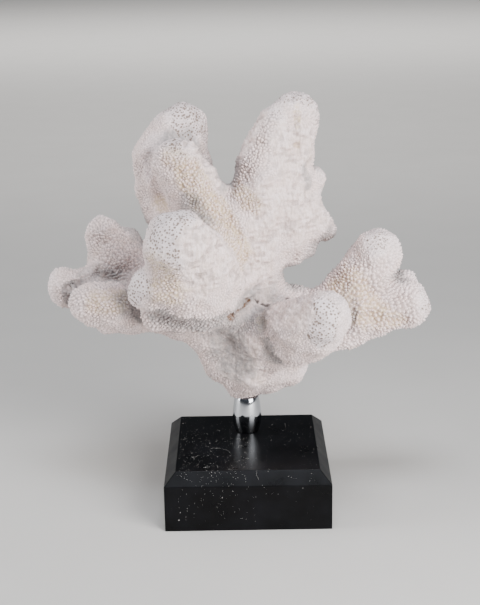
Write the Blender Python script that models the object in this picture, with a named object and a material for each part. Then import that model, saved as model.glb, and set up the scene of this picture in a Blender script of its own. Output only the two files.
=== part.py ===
"""Cauliflower coral skeleton held on a short chrome post over a black wooden plinth.

The coral is one grown piece. Its form is a set of limbs, each a chain of round
stations, melted together into one skin. The skin is parted at the main forks into
cells, and each cell's share is an object of its own with a hairline gap to the next.
Units are metres, +Z is up, and the origin is the centre of the plinth's underside.
"""

import math

import bmesh
import bpy
import numpy as np
from mathutils import Matrix, Vector

# Driving dimensions
PLINTH_SIDE = 0.100
PLINTH_HEIGHT = 0.036
CHAMFER_IN = 0.007
CHAMFER_DOWN = 0.0073
PLINTH_EDGE = 0.0005
POST_X = 0.0003
POST_Y = 0.019
POST_HEIGHT = 0.0236
POST_FOOT_RADIUS = 0.0078
POST_BELLY_RADIUS = 0.0092
POST_TOP_RADIUS = 0.0075
POST_RIM = 0.0004
POST_RINGS = 12
POST_SIDES = 32
GAP = 0.0003
POST_BOTTOM = PLINTH_HEIGHT + GAP
CORAL_BOTTOM = POST_BOTTOM + POST_HEIGHT + GAP

# How the limbs melt together, and how fine the skin is
BLEND = 0.0025
SEED_VOXEL = 0.0035
MELT_STEPS = 6
CORAL_TRIANGLES = 7200
SLOPE_STEP = 0.0004

# Each limb: stations of x, y, z and radius, from its root to its tip
LIMBS = {
    "trunk": {
        "foot bottom": (
            (-0.004, 0.017, 0.0745, 0.011),
            (0.013, 0.016, 0.0743, 0.0115),
        ),
        "foot on the post": (
            (-0.0015, 0.0175, 0.0715, 0.0115),
            (-0.001, 0.015, 0.08, 0.015),
        ),
        "foot sides": (
            (-0.015, 0.011, 0.086, 0.012),
            (0.004, 0.008, 0.084, 0.015),
            (0.025, 0.011, 0.082, 0.0125),
        ),
        "foot core": (
            (0.002, 0.014, 0.092, 0.021),
            (0.003, 0.013, 0.112, 0.02),
            (0.004, 0.015, 0.135, 0.017),
        ),
        "left wing": (
            (-0.006, 0.012, 0.098, 0.015),
            (-0.025, 0.008, 0.1052, 0.0117),
            (-0.039, 0.006, 0.114, 0.0102),
        ),
        "right wing": (
            (0.008, 0.012, 0.093, 0.0155),
            (0.033, 0.009, 0.097, 0.013),
        ),
        "rising stem": (
            (0.0035, 0.014, 0.125, 0.0176),
            (0.0015, 0.017, 0.15, 0.0162),
            (-0.003, 0.017, 0.176, 0.015),
        ),
    },
    "front_left": {
        "mound": (
            (-0.013, 0.002, 0.134, 0.017),
            (-0.024, -0.015, 0.15, 0.0215),
            (-0.038, -0.036, 0.1735, 0.0195),
        ),
        "mound underside": (
            (-0.012, -0.002, 0.127, 0.016),
            (-0.028, -0.02, 0.138, 0.0185),
            (-0.042, -0.03, 0.151, 0.0165),
        ),
        "mound root": (
            (-0.01, 0.008, 0.14, 0.015),
            (-0.018, 0.0, 0.16, 0.0155),
        ),
        "side knob": (
            (-0.038, -0.022, 0.142, 0.015),
            (-0.056, -0.028, 0.1445, 0.0123),
        ),
        "ledge below": (
            (-0.028, -0.014, 0.124, 0.01),
            (-0.053, -0.021, 0.1255, 0.008),
        ),
    },
    "far_left": {
        "arm": (
            (-0.024, 0.012, 0.112, 0.014),
            (-0.044, 0.013, 0.1175, 0.0135),
            (-0.068, 0.009, 0.122, 0.0135),
        ),
        "front knob": (
            (-0.068, 0.002, 0.1235, 0.0125),
            (-0.079, -0.003, 0.128, 0.0138),
            (-0.0925, -0.004, 0.1287, 0.0124),
        ),
        "nub below": (
            (-0.076, 0.004, 0.117, 0.009),
            (-0.0845, 0.002, 0.1135, 0.0054),
        ),
        "end knob": (
            (-0.084, 0.016, 0.132, 0.011),
            (-0.1095, 0.015, 0.1343, 0.0116),
        ),
        "upper knob": (
            (-0.066, 0.018, 0.128, 0.014),
            (-0.082, 0.023, 0.148, 0.0143),
            (-0.0865, 0.024, 0.1655, 0.0106),
        ),
        "upper shoulder": (
            (-0.066, 0.022, 0.142, 0.0135),
            (-0.0745, 0.027, 0.1575, 0.011),
        ),
    },
    "back_left": {
        "front ridge": (
            (0.002, 0.014, 0.145, 0.017),
            (-0.014, 0.013, 0.172, 0.0165),
            (-0.027, 0.012, 0.193, 0.0155),
            (-0.0393, 0.0125, 0.2113, 0.0144),
        ),
        "web": (
            (-0.024, 0.02, 0.176, 0.014),
            (-0.044, 0.022, 0.196, 0.0125),
            (-0.046, 0.024, 0.208, 0.012),
        ),
        "back lobe": (
            (-0.014, 0.026, 0.165, 0.014),
            (-0.031, 0.038, 0.196, 0.013),
            (-0.035, 0.042, 0.212, 0.0138),
            (-0.036, 0.044, 0.2275, 0.0145),
        ),
        "outer edge": (
            (-0.051, 0.024, 0.178, 0.0098),
            (-0.055, 0.028, 0.192, 0.0108),
            (-0.0555, 0.031, 0.211, 0.0117),
            (-0.046, 0.037, 0.224, 0.0117),
        ),
    },
    "back_right": {
        "left ridge": (
            (0.006, 0.016, 0.165, 0.0165),
            (0.0095, 0.016, 0.19, 0.0172),
            (0.0118, 0.017, 0.206, 0.0163),
            (0.0155, 0.018, 0.221, 0.013),
            (0.0195, 0.018, 0.2333, 0.009),
        ),
        "right ridge": (
            (0.01, 0.017, 0.158, 0.016),
            (0.02, 0.019, 0.18, 0.016),
            (0.0276, 0.023, 0.2, 0.0132),
            (0.03, 0.024, 0.213, 0.0124),
            (0.0318, 0.024, 0.227, 0.013),
            (0.0325, 0.024, 0.2375, 0.0104),
        ),
        "crown": (
            (0.027, 0.021, 0.2388, 0.0092),
            (0.0343, 0.024, 0.239, 0.0094),
        ),
        "side knob": (
            (0.033, 0.028, 0.184, 0.01),
            (0.0423, 0.032, 0.196, 0.0079),
        ),
        "side swelling": (
            (0.022, 0.02, 0.17, 0.015),
            (0.038, 0.027, 0.178, 0.0108),
        ),
        "fin": (
            (0.024, 0.021, 0.168, 0.014),
            (0.0445, 0.027, 0.1685, 0.0098),
            (0.0518, 0.028, 0.1628, 0.0053),
        ),
        "fin underside": (
            (0.014, 0.018, 0.16, 0.0148),
            (0.027, 0.021, 0.156, 0.0109),
            (0.0375, 0.025, 0.1546, 0.0072),
        ),
        "web of the fork": (
            (-0.004, 0.017, 0.165, 0.016),
            (-0.003, 0.017, 0.179, 0.0153),
        ),
    },
    "right": {
        "arm": (
            (0.017, 0.013, 0.1185, 0.0173),
            (0.042, 0.01, 0.1137, 0.0157),
            (0.062, 0.005, 0.1215, 0.017),
            (0.08, 0.004, 0.124, 0.0155),
            (0.099, 0.002, 0.124, 0.0135),
        ),
        "upper knob": (
            (0.06, 0.007, 0.126, 0.0145),
            (0.071, 0.006, 0.141, 0.0145),
            (0.08, 0.006, 0.155, 0.0147),
        ),
        "small knob": (
            (0.09, 0.012, 0.128, 0.009),
            (0.099, 0.018, 0.133, 0.0072),
        ),
        "arm underside": (
            (0.036, 0.007, 0.102, 0.0125),
            (0.061, 0.004, 0.1085, 0.012),
            (0.078, 0.004, 0.113, 0.01),
        ),
    },
    "front_right": {
        "finger": (
            (0.009, 0.0, 0.107, 0.016),
            (0.03, -0.025, 0.119, 0.016),
            (0.0455, -0.04, 0.13, 0.0148),
        ),
        "finger underside": (
            (0.016, -0.004, 0.099, 0.012),
            (0.031, -0.022, 0.108, 0.0125),
            (0.042, -0.035, 0.118, 0.0128),
        ),
    },
    "back": {
        "rising knob": (
            (-0.004, 0.028, 0.122, 0.018),
            (-0.018, 0.052, 0.146, 0.017),
            (-0.021, 0.067, 0.162, 0.0155),
        ),
        "middle knob": (
            (-0.006, 0.044, 0.138, 0.015),
            (0.01, 0.06, 0.151, 0.0145),
        ),
        "low knob": (
            (0.006, 0.028, 0.106, 0.017),
            (0.022, 0.05, 0.104, 0.015),
            (0.035, 0.062, 0.101, 0.0135),
        ),
        "side knob": (
            (-0.008, 0.03, 0.11, 0.016),
            (-0.032, 0.05, 0.12, 0.0155),
            (-0.045, 0.057, 0.128, 0.0135),
        ),
    },
}

# Grooves and hollows: start, end, half width and depth. A negative depth is a ridge.
MARKS = {
    "groove between the right ridges": ((0.0285, 0.0140, 0.2475), (0.0335, 0.0115, 0.2120), 0.0022, 0.0024),
    "valley beside the fin": ((0.0260, 0.0060, 0.1960), (0.0210, 0.0010, 0.1600), 0.0050, 0.0020),
    "crease beside the side knob": ((0.0385, 0.0160, 0.2070), (0.0375, 0.0160, 0.1960), 0.0025, 0.0020),
    "crease behind the front ridge, top": (
        (-0.0450, 0.0220, 0.2240),
        (-0.0330, 0.0260, 0.2210),
        0.0030,
        0.0026,
    ),
    "crease behind the front ridge, side": (
        (-0.0330, 0.0260, 0.2210),
        (-0.0190, 0.0280, 0.2030),
        0.0030,
        0.0026,
    ),
    "rust crevice, upper end": ((0.0020, -0.0120, 0.1340), (0.0020, -0.0110, 0.1290), 0.0025, 0.0030),
    "rust crevice, lower end": ((0.0020, -0.0110, 0.1290), (-0.0090, -0.0210, 0.1250), 0.0030, 0.0040),
    "hollow under the mound": ((-0.0520, -0.0290, 0.1280), (-0.0120, -0.0280, 0.1260), 0.0040, 0.0022),
    "crescent hollow": ((0.0110, -0.0250, 0.1090), (0.0170, -0.0230, 0.0990), 0.0038, 0.0040),
    "grey hollow": ((-0.0100, -0.0070, 0.1000), (-0.0080, -0.0060, 0.0960), 0.0060, 0.0030),
    "pit on the saddle": ((0.0090, -0.0220, 0.1220), (0.0110, -0.0210, 0.1190), 0.0040, 0.0022),
    "column down the foot": ((0.0040, -0.0130, 0.1000), (0.0040, -0.0070, 0.0780), 0.0060, -0.0014),
    "groove of the outer edge": ((-0.0560, 0.0170, 0.2140), (-0.0500, 0.0100, 0.1880), 0.0050, 0.0022),
    "crease over the front knob, left": (
        (-0.1070, 0.0050, 0.1360),
        (-0.0900, 0.0085, 0.1425),
        0.0026,
        0.0028,
    ),
    "crease over the front knob, right": (
        (-0.0900, 0.0085, 0.1425),
        (-0.0710, -0.0010, 0.1400),
        0.0026,
        0.0028,
    ),
    "crease of the end knob": ((-0.1070, 0.0050, 0.1360), (-0.1060, 0.0040, 0.1240), 0.0025, 0.0020),
    "hollow of the right arm": ((0.0730, -0.0120, 0.1210), (0.0780, -0.0120, 0.1180), 0.0040, 0.0020),
    "hollow of the right end": ((0.0880, -0.0100, 0.1180), (0.0930, -0.0100, 0.1180), 0.0040, 0.0020),
    "crease of the finger": ((0.0640, -0.0120, 0.1280), (0.0620, -0.0110, 0.1120), 0.0035, 0.0020),
}

# Swellings: waves that run over the whole skin, with their direction, length and phase
SWELL_HEIGHT = 0.0003
SWELLS = (
    ((1.0, 0.4, 0.2), 0.0170, 0.3),
    ((-0.3, 1.0, 0.5), 0.0150, 1.7),
    ((0.2, -0.6, 1.0), 0.0135, 4.1),
    ((0.8, 0.1, -0.9), 0.0190, 2.6),
    ((-0.6, -0.8, 0.7), 0.0120, 5.2),
)

# The cells that part the coral at its forks: a centre and how far the cell reaches
# past halfway. A point belongs to the cell for which distance squared less reach is least.
FORK_CELLS = {
    "coral_trunk": ((0.003, 0.012, 0.106), 0.0),
    "coral_lobe_front_left": ((-0.033, -0.026, 0.155), 0.0011),
    "coral_branch_far_left": ((-0.090, 0.014, 0.136), 0.00125),
    "coral_branch_back_left": ((-0.034, 0.022, 0.200), 0.00177),
    "coral_branch_back_right": ((0.018, 0.020, 0.200), 0.00177),
    "coral_branch_right": ((0.082, 0.006, 0.128), 0.0),
    "coral_branch_front_right": ((0.034, -0.030, 0.118), 0.0),
    "coral_branch_back": ((-0.010, 0.064, 0.138), 0.00185),
}
CELL_REACH = 0.400


def clear_scene():
    """Removes every object that the file opens with."""
    for obj in list(bpy.data.objects):
        bpy.data.objects.remove(obj, do_unlink=True)


def make_material(name, colour, roughness, metallic):
    """A Principled material; colour is linear red, green and blue."""
    material = bpy.data.materials.new(name)
    material.use_nodes = True
    shader = material.node_tree.nodes["Principled BSDF"]
    shader.inputs["Base Color"].default_value = (*colour, 1.0)
    shader.inputs["Roughness"].default_value = roughness
    shader.inputs["Metallic"].default_value = metallic
    material.diffuse_color = (*colour, 1.0)
    return material


def add_object(name, mesh, material=None):
    """Puts a mesh in the scene as an object, with its material."""
    obj = bpy.data.objects.new(name, mesh)
    bpy.context.scene.collection.objects.link(obj)
    if material:
        mesh.materials.append(material)
    return obj


def mesh_from(bm, name):
    """Ends a bmesh as a mesh with its faces pointing outwards."""
    bmesh.ops.recalc_face_normals(bm, faces=bm.faces[:])
    mesh = bpy.data.meshes.new(name)
    bm.to_mesh(mesh)
    bm.free()
    return mesh


def add_plinth(material):
    """A square block whose top edge is chamfered all round."""
    bm = bmesh.new()
    body_height = PLINTH_HEIGHT - CHAMFER_DOWN
    size = Matrix.Diagonal((PLINTH_SIDE, PLINTH_SIDE, body_height, 1.0))
    lift = Matrix.Translation((0.0, 0.0, body_height / 2))
    bmesh.ops.create_cube(bm, size=1.0, matrix=lift @ size)
    top = max(bm.faces, key=lambda face: face.calc_center_median().z)
    bmesh.ops.inset_region(bm, faces=[top], thickness=CHAMFER_IN, depth=0.0)
    bmesh.ops.translate(bm, verts=top.verts[:], vec=(0.0, 0.0, CHAMFER_DOWN))
    plinth = add_object("plinth", mesh_from(bm, "plinth"), material)
    edges = plinth.modifiers.new("softened edges", "BEVEL")
    edges.width = PLINTH_EDGE
    edges.segments = 1
    edges.limit_method = "ANGLE"
    return plinth


def post_profile():
    """Radius and height up the post: a barrel with a small bevel at each end."""
    points = [(POST_FOOT_RADIUS - POST_RIM, 0.0)]
    for ring in range(POST_RINGS + 1):
        share = ring / POST_RINGS
        ends = POST_FOOT_RADIUS + (POST_TOP_RADIUS - POST_FOOT_RADIUS) * share
        belly = POST_BELLY_RADIUS - (POST_FOOT_RADIUS + POST_TOP_RADIUS) / 2
        height = POST_RIM + (POST_HEIGHT - 2 * POST_RIM) * share
        points.append((ends + belly * math.sin(math.pi * share), height))
    points.append((POST_TOP_RADIUS - POST_RIM, POST_HEIGHT))
    return points


def add_post(material):
    """The chrome spacer that lifts the coral off the plinth, turned from its profile."""
    bm = bmesh.new()
    rings = []
    for radius, height in post_profile():
        turned = bmesh.ops.create_circle(bm, segments=POST_SIDES, radius=radius)
        bmesh.ops.translate(bm, verts=turned["verts"], vec=(0.0, 0.0, height))
        rings.append(turned["verts"])
    for lower, upper in zip(rings, rings[1:]):
        for side in range(POST_SIDES):
            nearby = (side + 1) % POST_SIDES
            bm.faces.new((lower[side], lower[nearby], upper[nearby], upper[side]))
    bm.faces.new(reversed(rings[0]))
    bm.faces.new(rings[-1])
    post = add_object("post", mesh_from(bm, "post"), material)
    post.location = (POST_X, POST_Y, POST_BOTTOM)
    post.data.shade_smooth()
    post.data.set_sharp_from_angle(angle=math.radians(30))
    return post


def segment_offset(points, start, end):
    """For each point: its distance from a segment, and how far along the nearest place lies."""
    along = end - start
    share = np.clip((points - start) @ along / (along @ along), 0.0, 1.0)
    nearest = start + share[:, None] * along
    return np.linalg.norm(points - nearest, axis=1), share


def limb_distance(points, stations):
    """Distance from a limb's own skin: the nearest of its tapered, round-ended links."""
    stations = np.array(stations)
    nearest = np.full(len(points), np.inf)
    for start, end in zip(stations[:-1], stations[1:]):
        offset, share = segment_offset(points, start[:3], end[:3])
        radius = start[3] + share * (end[3] - start[3])
        nearest = np.minimum(nearest, offset - radius)
    return nearest


def skin_depth(points):
    """Signed distance from the coral's skin, below zero inside.

    The limbs' distances melt by a soft minimum: minus BLEND times the logarithm of the
    sum of exp(-distance / BLEND). Grooves are bell curves across their segments, and
    swellings are waves over the whole skin.
    """
    limbs = [limb for branch in LIMBS.values() for limb in branch.values()]
    distances = np.stack([limb_distance(points, limb) for limb in limbs])
    least = distances.min(axis=0)
    depth = least - BLEND * np.log(np.exp((least - distances) / BLEND).sum(axis=0))
    for start, end, width, dent in MARKS.values():
        offset, _ = segment_offset(points, np.array(start), np.array(end))
        depth += dent * np.exp(-((offset / width) ** 2))
    for direction, length, phase in SWELLS:
        wave = points @ np.array(direction) / np.linalg.norm(direction)
        depth += SWELL_HEIGHT * np.sin(2 * math.pi * wave / length + phase)
    return depth


def skin_slope(points):
    """The slope of skin_depth at each point, by central differences."""
    slope = np.empty_like(points)
    for axis in range(3):
        step = np.zeros(3)
        step[axis] = SLOPE_STEP
        rise = skin_depth(points + step) - skin_depth(points - step)
        slope[:, axis] = rise / (2 * SLOPE_STEP)
    return slope


def seed_limbs():
    """Balls at the stations and cones between them, overlapping, as one mesh."""
    bm = bmesh.new()
    for branch in LIMBS.values():
        for stations in branch.values():
            for x, y, z, radius in stations:
                place = Matrix.Translation((x, y, z))
                bmesh.ops.create_icosphere(bm, subdivisions=3, radius=radius, matrix=place)
            for start, end in zip(stations, stations[1:]):
                axis = Vector(end[:3]) - Vector(start[:3])
                turn = axis.to_track_quat("Z", "Y").to_matrix().to_4x4()
                middle = Matrix.Translation((Vector(start[:3]) + Vector(end[:3])) / 2)
                bmesh.ops.create_cone(
                    bm,
                    cap_ends=True,
                    segments=24,
                    radius1=start[3],
                    radius2=end[3],
                    depth=axis.length,
                    matrix=middle @ turn,
                )
    return mesh_from(bm, "limbs")


def evaluated_mesh(obj):
    """The object's mesh with its modifiers worked out."""
    graph = bpy.context.evaluated_depsgraph_get()
    return bpy.data.meshes.new_from_object(obj.evaluated_get(graph), depsgraph=graph)


def coral_skin():
    """The whole coral as one closed mesh: limbs remeshed as one, then drawn onto the melted skin."""
    limbs = add_object("limbs", seed_limbs())
    weld = limbs.modifiers.new("one skin", "REMESH")
    weld.mode = "VOXEL"
    weld.voxel_size = SEED_VOXEL
    skin = evaluated_mesh(limbs)
    bpy.data.objects.remove(limbs, do_unlink=True)
    points = np.empty(len(skin.vertices) * 3, np.float32)
    skin.vertices.foreach_get("co", points)
    points = points.reshape(-1, 3).astype(float)
    for _ in range(MELT_STEPS):
        slope = skin_slope(points)
        steep = np.maximum((slope**2).sum(axis=1), 0.1)
        points -= slope * (skin_depth(points) / steep)[:, None]
    skin.vertices.foreach_set("co", points.astype(np.float32).ravel())
    skin.update()
    return skin


def thinned(skin):
    """The skin with its triangles thinned where it is plainest."""
    skin.calc_loop_triangles()
    whole = add_object("whole coral", skin)
    fewer = whole.modifiers.new("fewer faces", "DECIMATE")
    fewer.ratio = CORAL_TRIANGLES / len(skin.loop_triangles)
    mesh = evaluated_mesh(whole)
    bpy.data.objects.remove(whole, do_unlink=True)
    return mesh


def cell_cutter(name):
    """A closed block that fills one fork cell, drawn in by half the gap."""
    bm = bmesh.new()
    centre, reach = FORK_CELLS[name]
    centre = Vector(centre)
    bmesh.ops.create_cube(bm, size=2 * CELL_REACH, matrix=Matrix.Translation(centre))
    planes = [(Vector((0.0, 0.0, CORAL_BOTTOM)), Vector((0.0, 0.0, -1.0)))]
    for other, (other_centre, other_reach) in FORK_CELLS.items():
        if other == name:
            continue
        apart = Vector(other_centre) - centre
        away = apart.normalized()
        halfway = (apart.length_squared + reach - other_reach) / (2 * apart.length)
        planes.append((centre + away * (halfway - GAP / 2), away))
    for place, away in planes:
        geometry = bm.verts[:] + bm.edges[:] + bm.faces[:]
        cut = bmesh.ops.bisect_plane(
            bm, geom=geometry, plane_co=place, plane_no=away, clear_outer=True
        )
        rim = [piece for piece in cut["geom_cut"] if isinstance(piece, bmesh.types.BMEdge)]
        if rim:
            bmesh.ops.contextual_create(bm, geom=rim)
    cutter = add_object("cell of " + name, mesh_from(bm, "cell of " + name))
    cutter.hide_render = True
    cutter.display_type = "WIRE"
    return cutter


def add_coral(material):
    """One object for each fork cell: the coral's skin where it lies in the cell."""
    coral = thinned(coral_skin())
    coral.shade_smooth()
    for name in FORK_CELLS:
        piece = add_object(name, coral.copy(), material)
        share = piece.modifiers.new("share of the coral", "BOOLEAN")
        share.operation = "INTERSECT"
        share.solver = "EXACT"
        share.object = cell_cutter(name)


def main():
    clear_scene()
    black_paint = make_material("satin black paint", (0.006, 0.006, 0.007), 0.35, 0.0)
    chrome = make_material("polished chrome", (0.56, 0.57, 0.58), 0.06, 1.0)
    skeleton = make_material("bleached coral skeleton", (0.76, 0.72, 0.69), 0.85, 0.0)
    add_plinth(black_paint)
    add_post(chrome)
    add_coral(skeleton)


main()
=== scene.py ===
import logging
import math
from dataclasses import dataclass, field
from enum import Enum

import bpy
import numpy as np
from mathutils import Matrix, Vector


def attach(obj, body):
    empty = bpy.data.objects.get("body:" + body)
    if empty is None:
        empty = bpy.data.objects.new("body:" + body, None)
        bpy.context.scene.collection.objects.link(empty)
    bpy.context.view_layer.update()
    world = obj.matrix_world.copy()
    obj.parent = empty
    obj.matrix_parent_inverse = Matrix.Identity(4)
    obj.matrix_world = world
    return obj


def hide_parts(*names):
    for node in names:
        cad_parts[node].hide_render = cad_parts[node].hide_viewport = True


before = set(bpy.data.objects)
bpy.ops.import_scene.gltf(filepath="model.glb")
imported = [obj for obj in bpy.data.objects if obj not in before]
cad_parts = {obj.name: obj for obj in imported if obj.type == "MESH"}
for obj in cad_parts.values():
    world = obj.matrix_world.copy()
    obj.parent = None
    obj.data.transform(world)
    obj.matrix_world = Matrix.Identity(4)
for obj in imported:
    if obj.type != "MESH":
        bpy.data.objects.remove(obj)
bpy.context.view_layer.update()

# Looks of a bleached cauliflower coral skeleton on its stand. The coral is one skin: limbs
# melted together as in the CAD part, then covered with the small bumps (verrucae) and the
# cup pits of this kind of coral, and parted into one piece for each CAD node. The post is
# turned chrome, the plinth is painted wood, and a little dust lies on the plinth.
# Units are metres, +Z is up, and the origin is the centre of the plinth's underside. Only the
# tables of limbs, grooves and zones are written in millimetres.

LOG = logging.getLogger("coral_on_stand")

Vec = tuple[float, float, float]
Station = tuple[float, float, float, float]
Array = np.ndarray
Mesh = bpy.types.Mesh
Material = bpy.types.Material
Object = bpy.types.Object
Tree = bpy.types.NodeTree
Socket = bpy.types.NodeSocket

# The undersides of the post and the coral, and the post's place, as the CAD part has them
POST_BOTTOM = 0.0363
CORAL_BOTTOM = 0.0602
POST_PLACE = (0.0003, 0.0190)

# Each limb, from root to tip: x, y, z and radius of its stations, in millimetres
LIMBS: dict[str, dict[str, tuple[Station, ...]]] = {
    "trunk": {
        "foot bottom": ((-4, 17, 74.5, 11), (13, 16, 74.3, 11.5)),
        "foot on the post": ((-1.5, 17.5, 71.5, 11.5), (-1, 15, 80, 15)),
        "foot sides": ((-15, 11, 86, 12), (4, 8, 84, 15), (25, 11, 82, 12.5)),
        "foot core": ((2, 14, 92, 21), (3, 13, 112, 20), (4, 15, 135, 17)),
        "left wing": ((-6, 12, 98, 15), (-25, 8, 105.2, 11.7), (-39, 6, 114, 10.2)),
        "right wing": ((8, 12, 93, 15.5), (33, 9, 97, 13)),
        "rising stem": ((3.5, 14, 125, 17.6), (1.5, 17, 150, 16.2), (-3, 17, 176, 15)),
    },
    "front_left": {
        "mound": ((-13, 2, 134, 17), (-24, -15, 150, 21.5), (-38, -36, 173.5, 19.5)),
        "mound underside": ((-12, -2, 127, 16), (-28, -20, 138, 18.5), (-42, -30, 151, 16.5)),
        "mound root": ((-10, 8, 140, 15), (-18, 0, 160, 15.5)),
        "side knob": ((-38, -22, 142, 15), (-56, -28, 144.5, 12.3)),
        "ledge below": ((-28, -14, 124, 10), (-53, -21, 125.5, 8)),
    },
    "far_left": {
        "arm": ((-24, 12, 112, 14), (-44, 13, 117.5, 13.5), (-68, 9, 122, 13.5)),
        "front knob": ((-68, 2, 123.5, 12.5), (-79, -3, 128, 13.8), (-92.5, -4, 128.7, 12.4)),
        "nub below": ((-76, 4, 117, 9), (-84.5, 2, 113.5, 5.4)),
        "end knob": ((-84, 16, 132, 11), (-109.5, 15, 134.3, 11.6)),
        "upper knob": ((-66, 18, 128, 14), (-82, 23, 148, 14.3), (-86.5, 24, 165.5, 10.6)),
        "upper shoulder": ((-66, 22, 142, 13.5), (-74.5, 27, 157.5, 11)),
    },
    "back_left": {
        "front ridge": (
            (2, 14, 145, 17), (-14, 13, 172, 16.5), (-27, 12, 193, 15.5), (-39.3, 12.5, 211.3, 14.4),
        ),
        "web": ((-24, 20, 176, 14), (-44, 22, 196, 12.5), (-46, 24, 208, 12)),
        "back lobe": (
            (-14, 26, 165, 14), (-31, 38, 196, 13), (-35, 42, 212, 13.8), (-36, 44, 227.5, 14.5),
        ),
        "outer edge": (
            (-51, 24, 178, 9.8), (-55, 28, 192, 10.8), (-55.5, 31, 211, 11.7), (-46, 37, 224, 11.7),
        ),
    },
    "back_right": {
        "left ridge": (
            (6, 16, 165, 16.5), (9.5, 16, 190, 17.2), (11.8, 17, 206, 16.3), (15.5, 18, 221, 13),
            (19.5, 18, 233.3, 9),
        ),
        "right ridge": (
            (10, 17, 158, 16), (20, 19, 180, 16), (27.6, 23, 200, 13.2), (30, 24, 213, 12.4),
            (31.8, 24, 227, 13), (32.5, 24, 237.5, 10.4),
        ),
        "crown": ((27, 21, 238.8, 9.2), (34.3, 24, 239, 9.4)),
        "side knob": ((33, 28, 184, 10), (42.3, 32, 196, 7.9)),
        "side swelling": ((22, 20, 170, 15), (38, 27, 178, 10.8)),
        "fin": ((24, 21, 168, 14), (44.5, 27, 168.5, 9.8), (51.8, 28, 162.8, 5.3)),
        "fin underside": ((14, 18, 160, 14.8), (27, 21, 156, 10.9), (37.5, 25, 154.6, 7.2)),
        "web of the fork": ((-4, 17, 165, 16), (-3, 17, 179, 15.3)),
    },
    "right": {
        "arm": (
            (17, 13, 118.5, 17.3), (42, 10, 113.7, 15.7), (62, 5, 121.5, 17), (80, 4, 124, 15.5),
            (99, 2, 124, 13.5),
        ),
        "upper knob": ((60, 7, 126, 14.5), (71, 6, 141, 14.5), (80, 6, 155, 14.7)),
        "small knob": ((90, 12, 128, 9), (99, 18, 133, 7.2)),
        "arm underside": ((36, 7, 102, 12.5), (61, 4, 108.5, 12), (78, 4, 113, 10)),
    },
    "front_right": {
        "finger": ((9, 0, 107, 16), (30, -25, 119, 16), (45.5, -40, 130, 14.8)),
        "finger underside": ((16, -4, 99, 12), (31, -22, 108, 12.5), (42, -35, 118, 12.8)),
    },
    "back": {
        "rising knob": ((-4, 28, 122, 18), (-18, 52, 146, 17), (-21, 67, 162, 15.5)),
        "middle knob": ((-6, 44, 138, 15), (10, 60, 151, 14.5)),
        "low knob": ((6, 28, 106, 17), (22, 50, 104, 15), (35, 62, 101, 13.5)),
        "side knob": ((-8, 30, 110, 16), (-32, 50, 120, 15.5), (-45, 57, 128, 13.5)),
    },
}


def linear(hexes: str) -> tuple[float, float, float, float]:
    """Turns an sRGB colour written in hex into linear red, green, blue and 1.

    Args:
        hexes: Six hex digits.

    Returns:
        The colour as a shader socket takes it.
    """
    shares = np.array([int(hexes[place:place + 2], 16) for place in (0, 2, 4)]) / 255
    values = np.where(shares <= 0.04045, shares / 12.92, ((shares + 0.055) / 1.055) ** 2.4)
    return (*(float(value) for value in values), 1.0)


def eased(low: float, high: float, values: Array) -> Array:
    """Rises from 0 at low to 1 at high by 3t² - 2t³, and the other way where low > high."""
    share = np.clip((values - low) / (high - low), 0.0, 1.0)
    return share * share * (3.0 - 2.0 * share)


def unit(rows: Array) -> Array:
    """Scales each row to length 1."""
    return rows / np.maximum(np.linalg.norm(rows, axis=1, keepdims=True), 1e-12)


def line_offset(points: Array, start: Vec, end: Vec) -> tuple[Array, Array]:
    """Measures points against a line from start to end.

    Args:
        points: Rows of x, y and z.
        start: Where the line begins.
        end: Where it ends, which may be the same place.

    Returns:
        Each point's distance from the line, and the share of the line where it is nearest.
    """
    origin = np.array(start[:3])
    along = np.array(end[:3]) - origin
    share = np.clip((points - origin) @ along / max(along @ along, 1e-12), 0.0, 1.0)
    return np.linalg.norm(points - origin - share[:, None] * along, axis=1), share


def lattice_noise(points: Array, grain: float, seed: int) -> Array:
    """Smooth noise from -1 to 1: random values at the corners of cubes, blended with eased shares.

    Args:
        points: Rows of x, y and z.
        grain: The cubes' side.
        seed: Which noise.

    Returns:
        One value for each point.
    """
    # The corners' numbers are kept above zero and hashed by three large primes
    values = np.random.default_rng(seed).uniform(-1.0, 1.0, 65536)
    scaled = points / grain + 4096.0
    corner = np.floor(scaled).astype(np.int64)
    share = scaled - corner
    share = share * share * (3.0 - 2.0 * share)
    total = np.zeros(len(points))
    for step in np.ndindex(2, 2, 2):
        weight = np.prod(np.where(step, share, 1.0 - share), axis=1)
        place = (corner + step) @ np.array((73856093, 19349663, 83492791))
        total += weight * values[place & 65535]
    return total


class Character(Enum):
    """What a zone does to the skin or its colour."""

    BEADED = "bumps stand high"
    POROUS = "a smooth tip with open cup pits"
    WORN = "rubbed smooth, faintly streaked"
    COARSE = "bumps lie further apart"
    BEIGE = "warm stain between the bumps"
    RUST = "brown stain"
    # Grey dirt, and painted shade where its zones lie in creases, under limbs and in hollows
    GREY = "grey film"


@dataclass(frozen=True)
class Zone:
    """All of the skin near a line.

    Attributes:
        kind: What it does.
        start: One end of the line.
        end: Its other end.
        reach: How far from the line it goes.
        share: How strong it is.
    """

    kind: Character
    start: Vec
    end: Vec
    reach: float
    share: float = 1.0

    def weight(self, points: Array, waver: Array) -> Array:
        """The zone's strength at each point, fading round its border, which wavers."""
        offset, _ = line_offset(points, self.start, self.end)
        return self.share * eased(1.15, 0.65, offset / self.reach * (1.0 + 0.25 * waver))


@dataclass(frozen=True)
class Groove:
    """A bell-shaped groove along a line: depth times exp(-(offset/width)²).

    Attributes:
        start: One end of the line.
        end: Its other end.
        width: Half of the groove's width, about.
        depth: Its depth, below zero for a ridge.
    """

    start: Vec
    end: Vec
    width: float
    depth: float

    def cut(self, points: Array) -> Array:
        """How deep the groove is at each point."""
        offset, _ = line_offset(points, self.start, self.end)
        return self.depth * np.exp(-((offset / self.width) ** 2))


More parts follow.
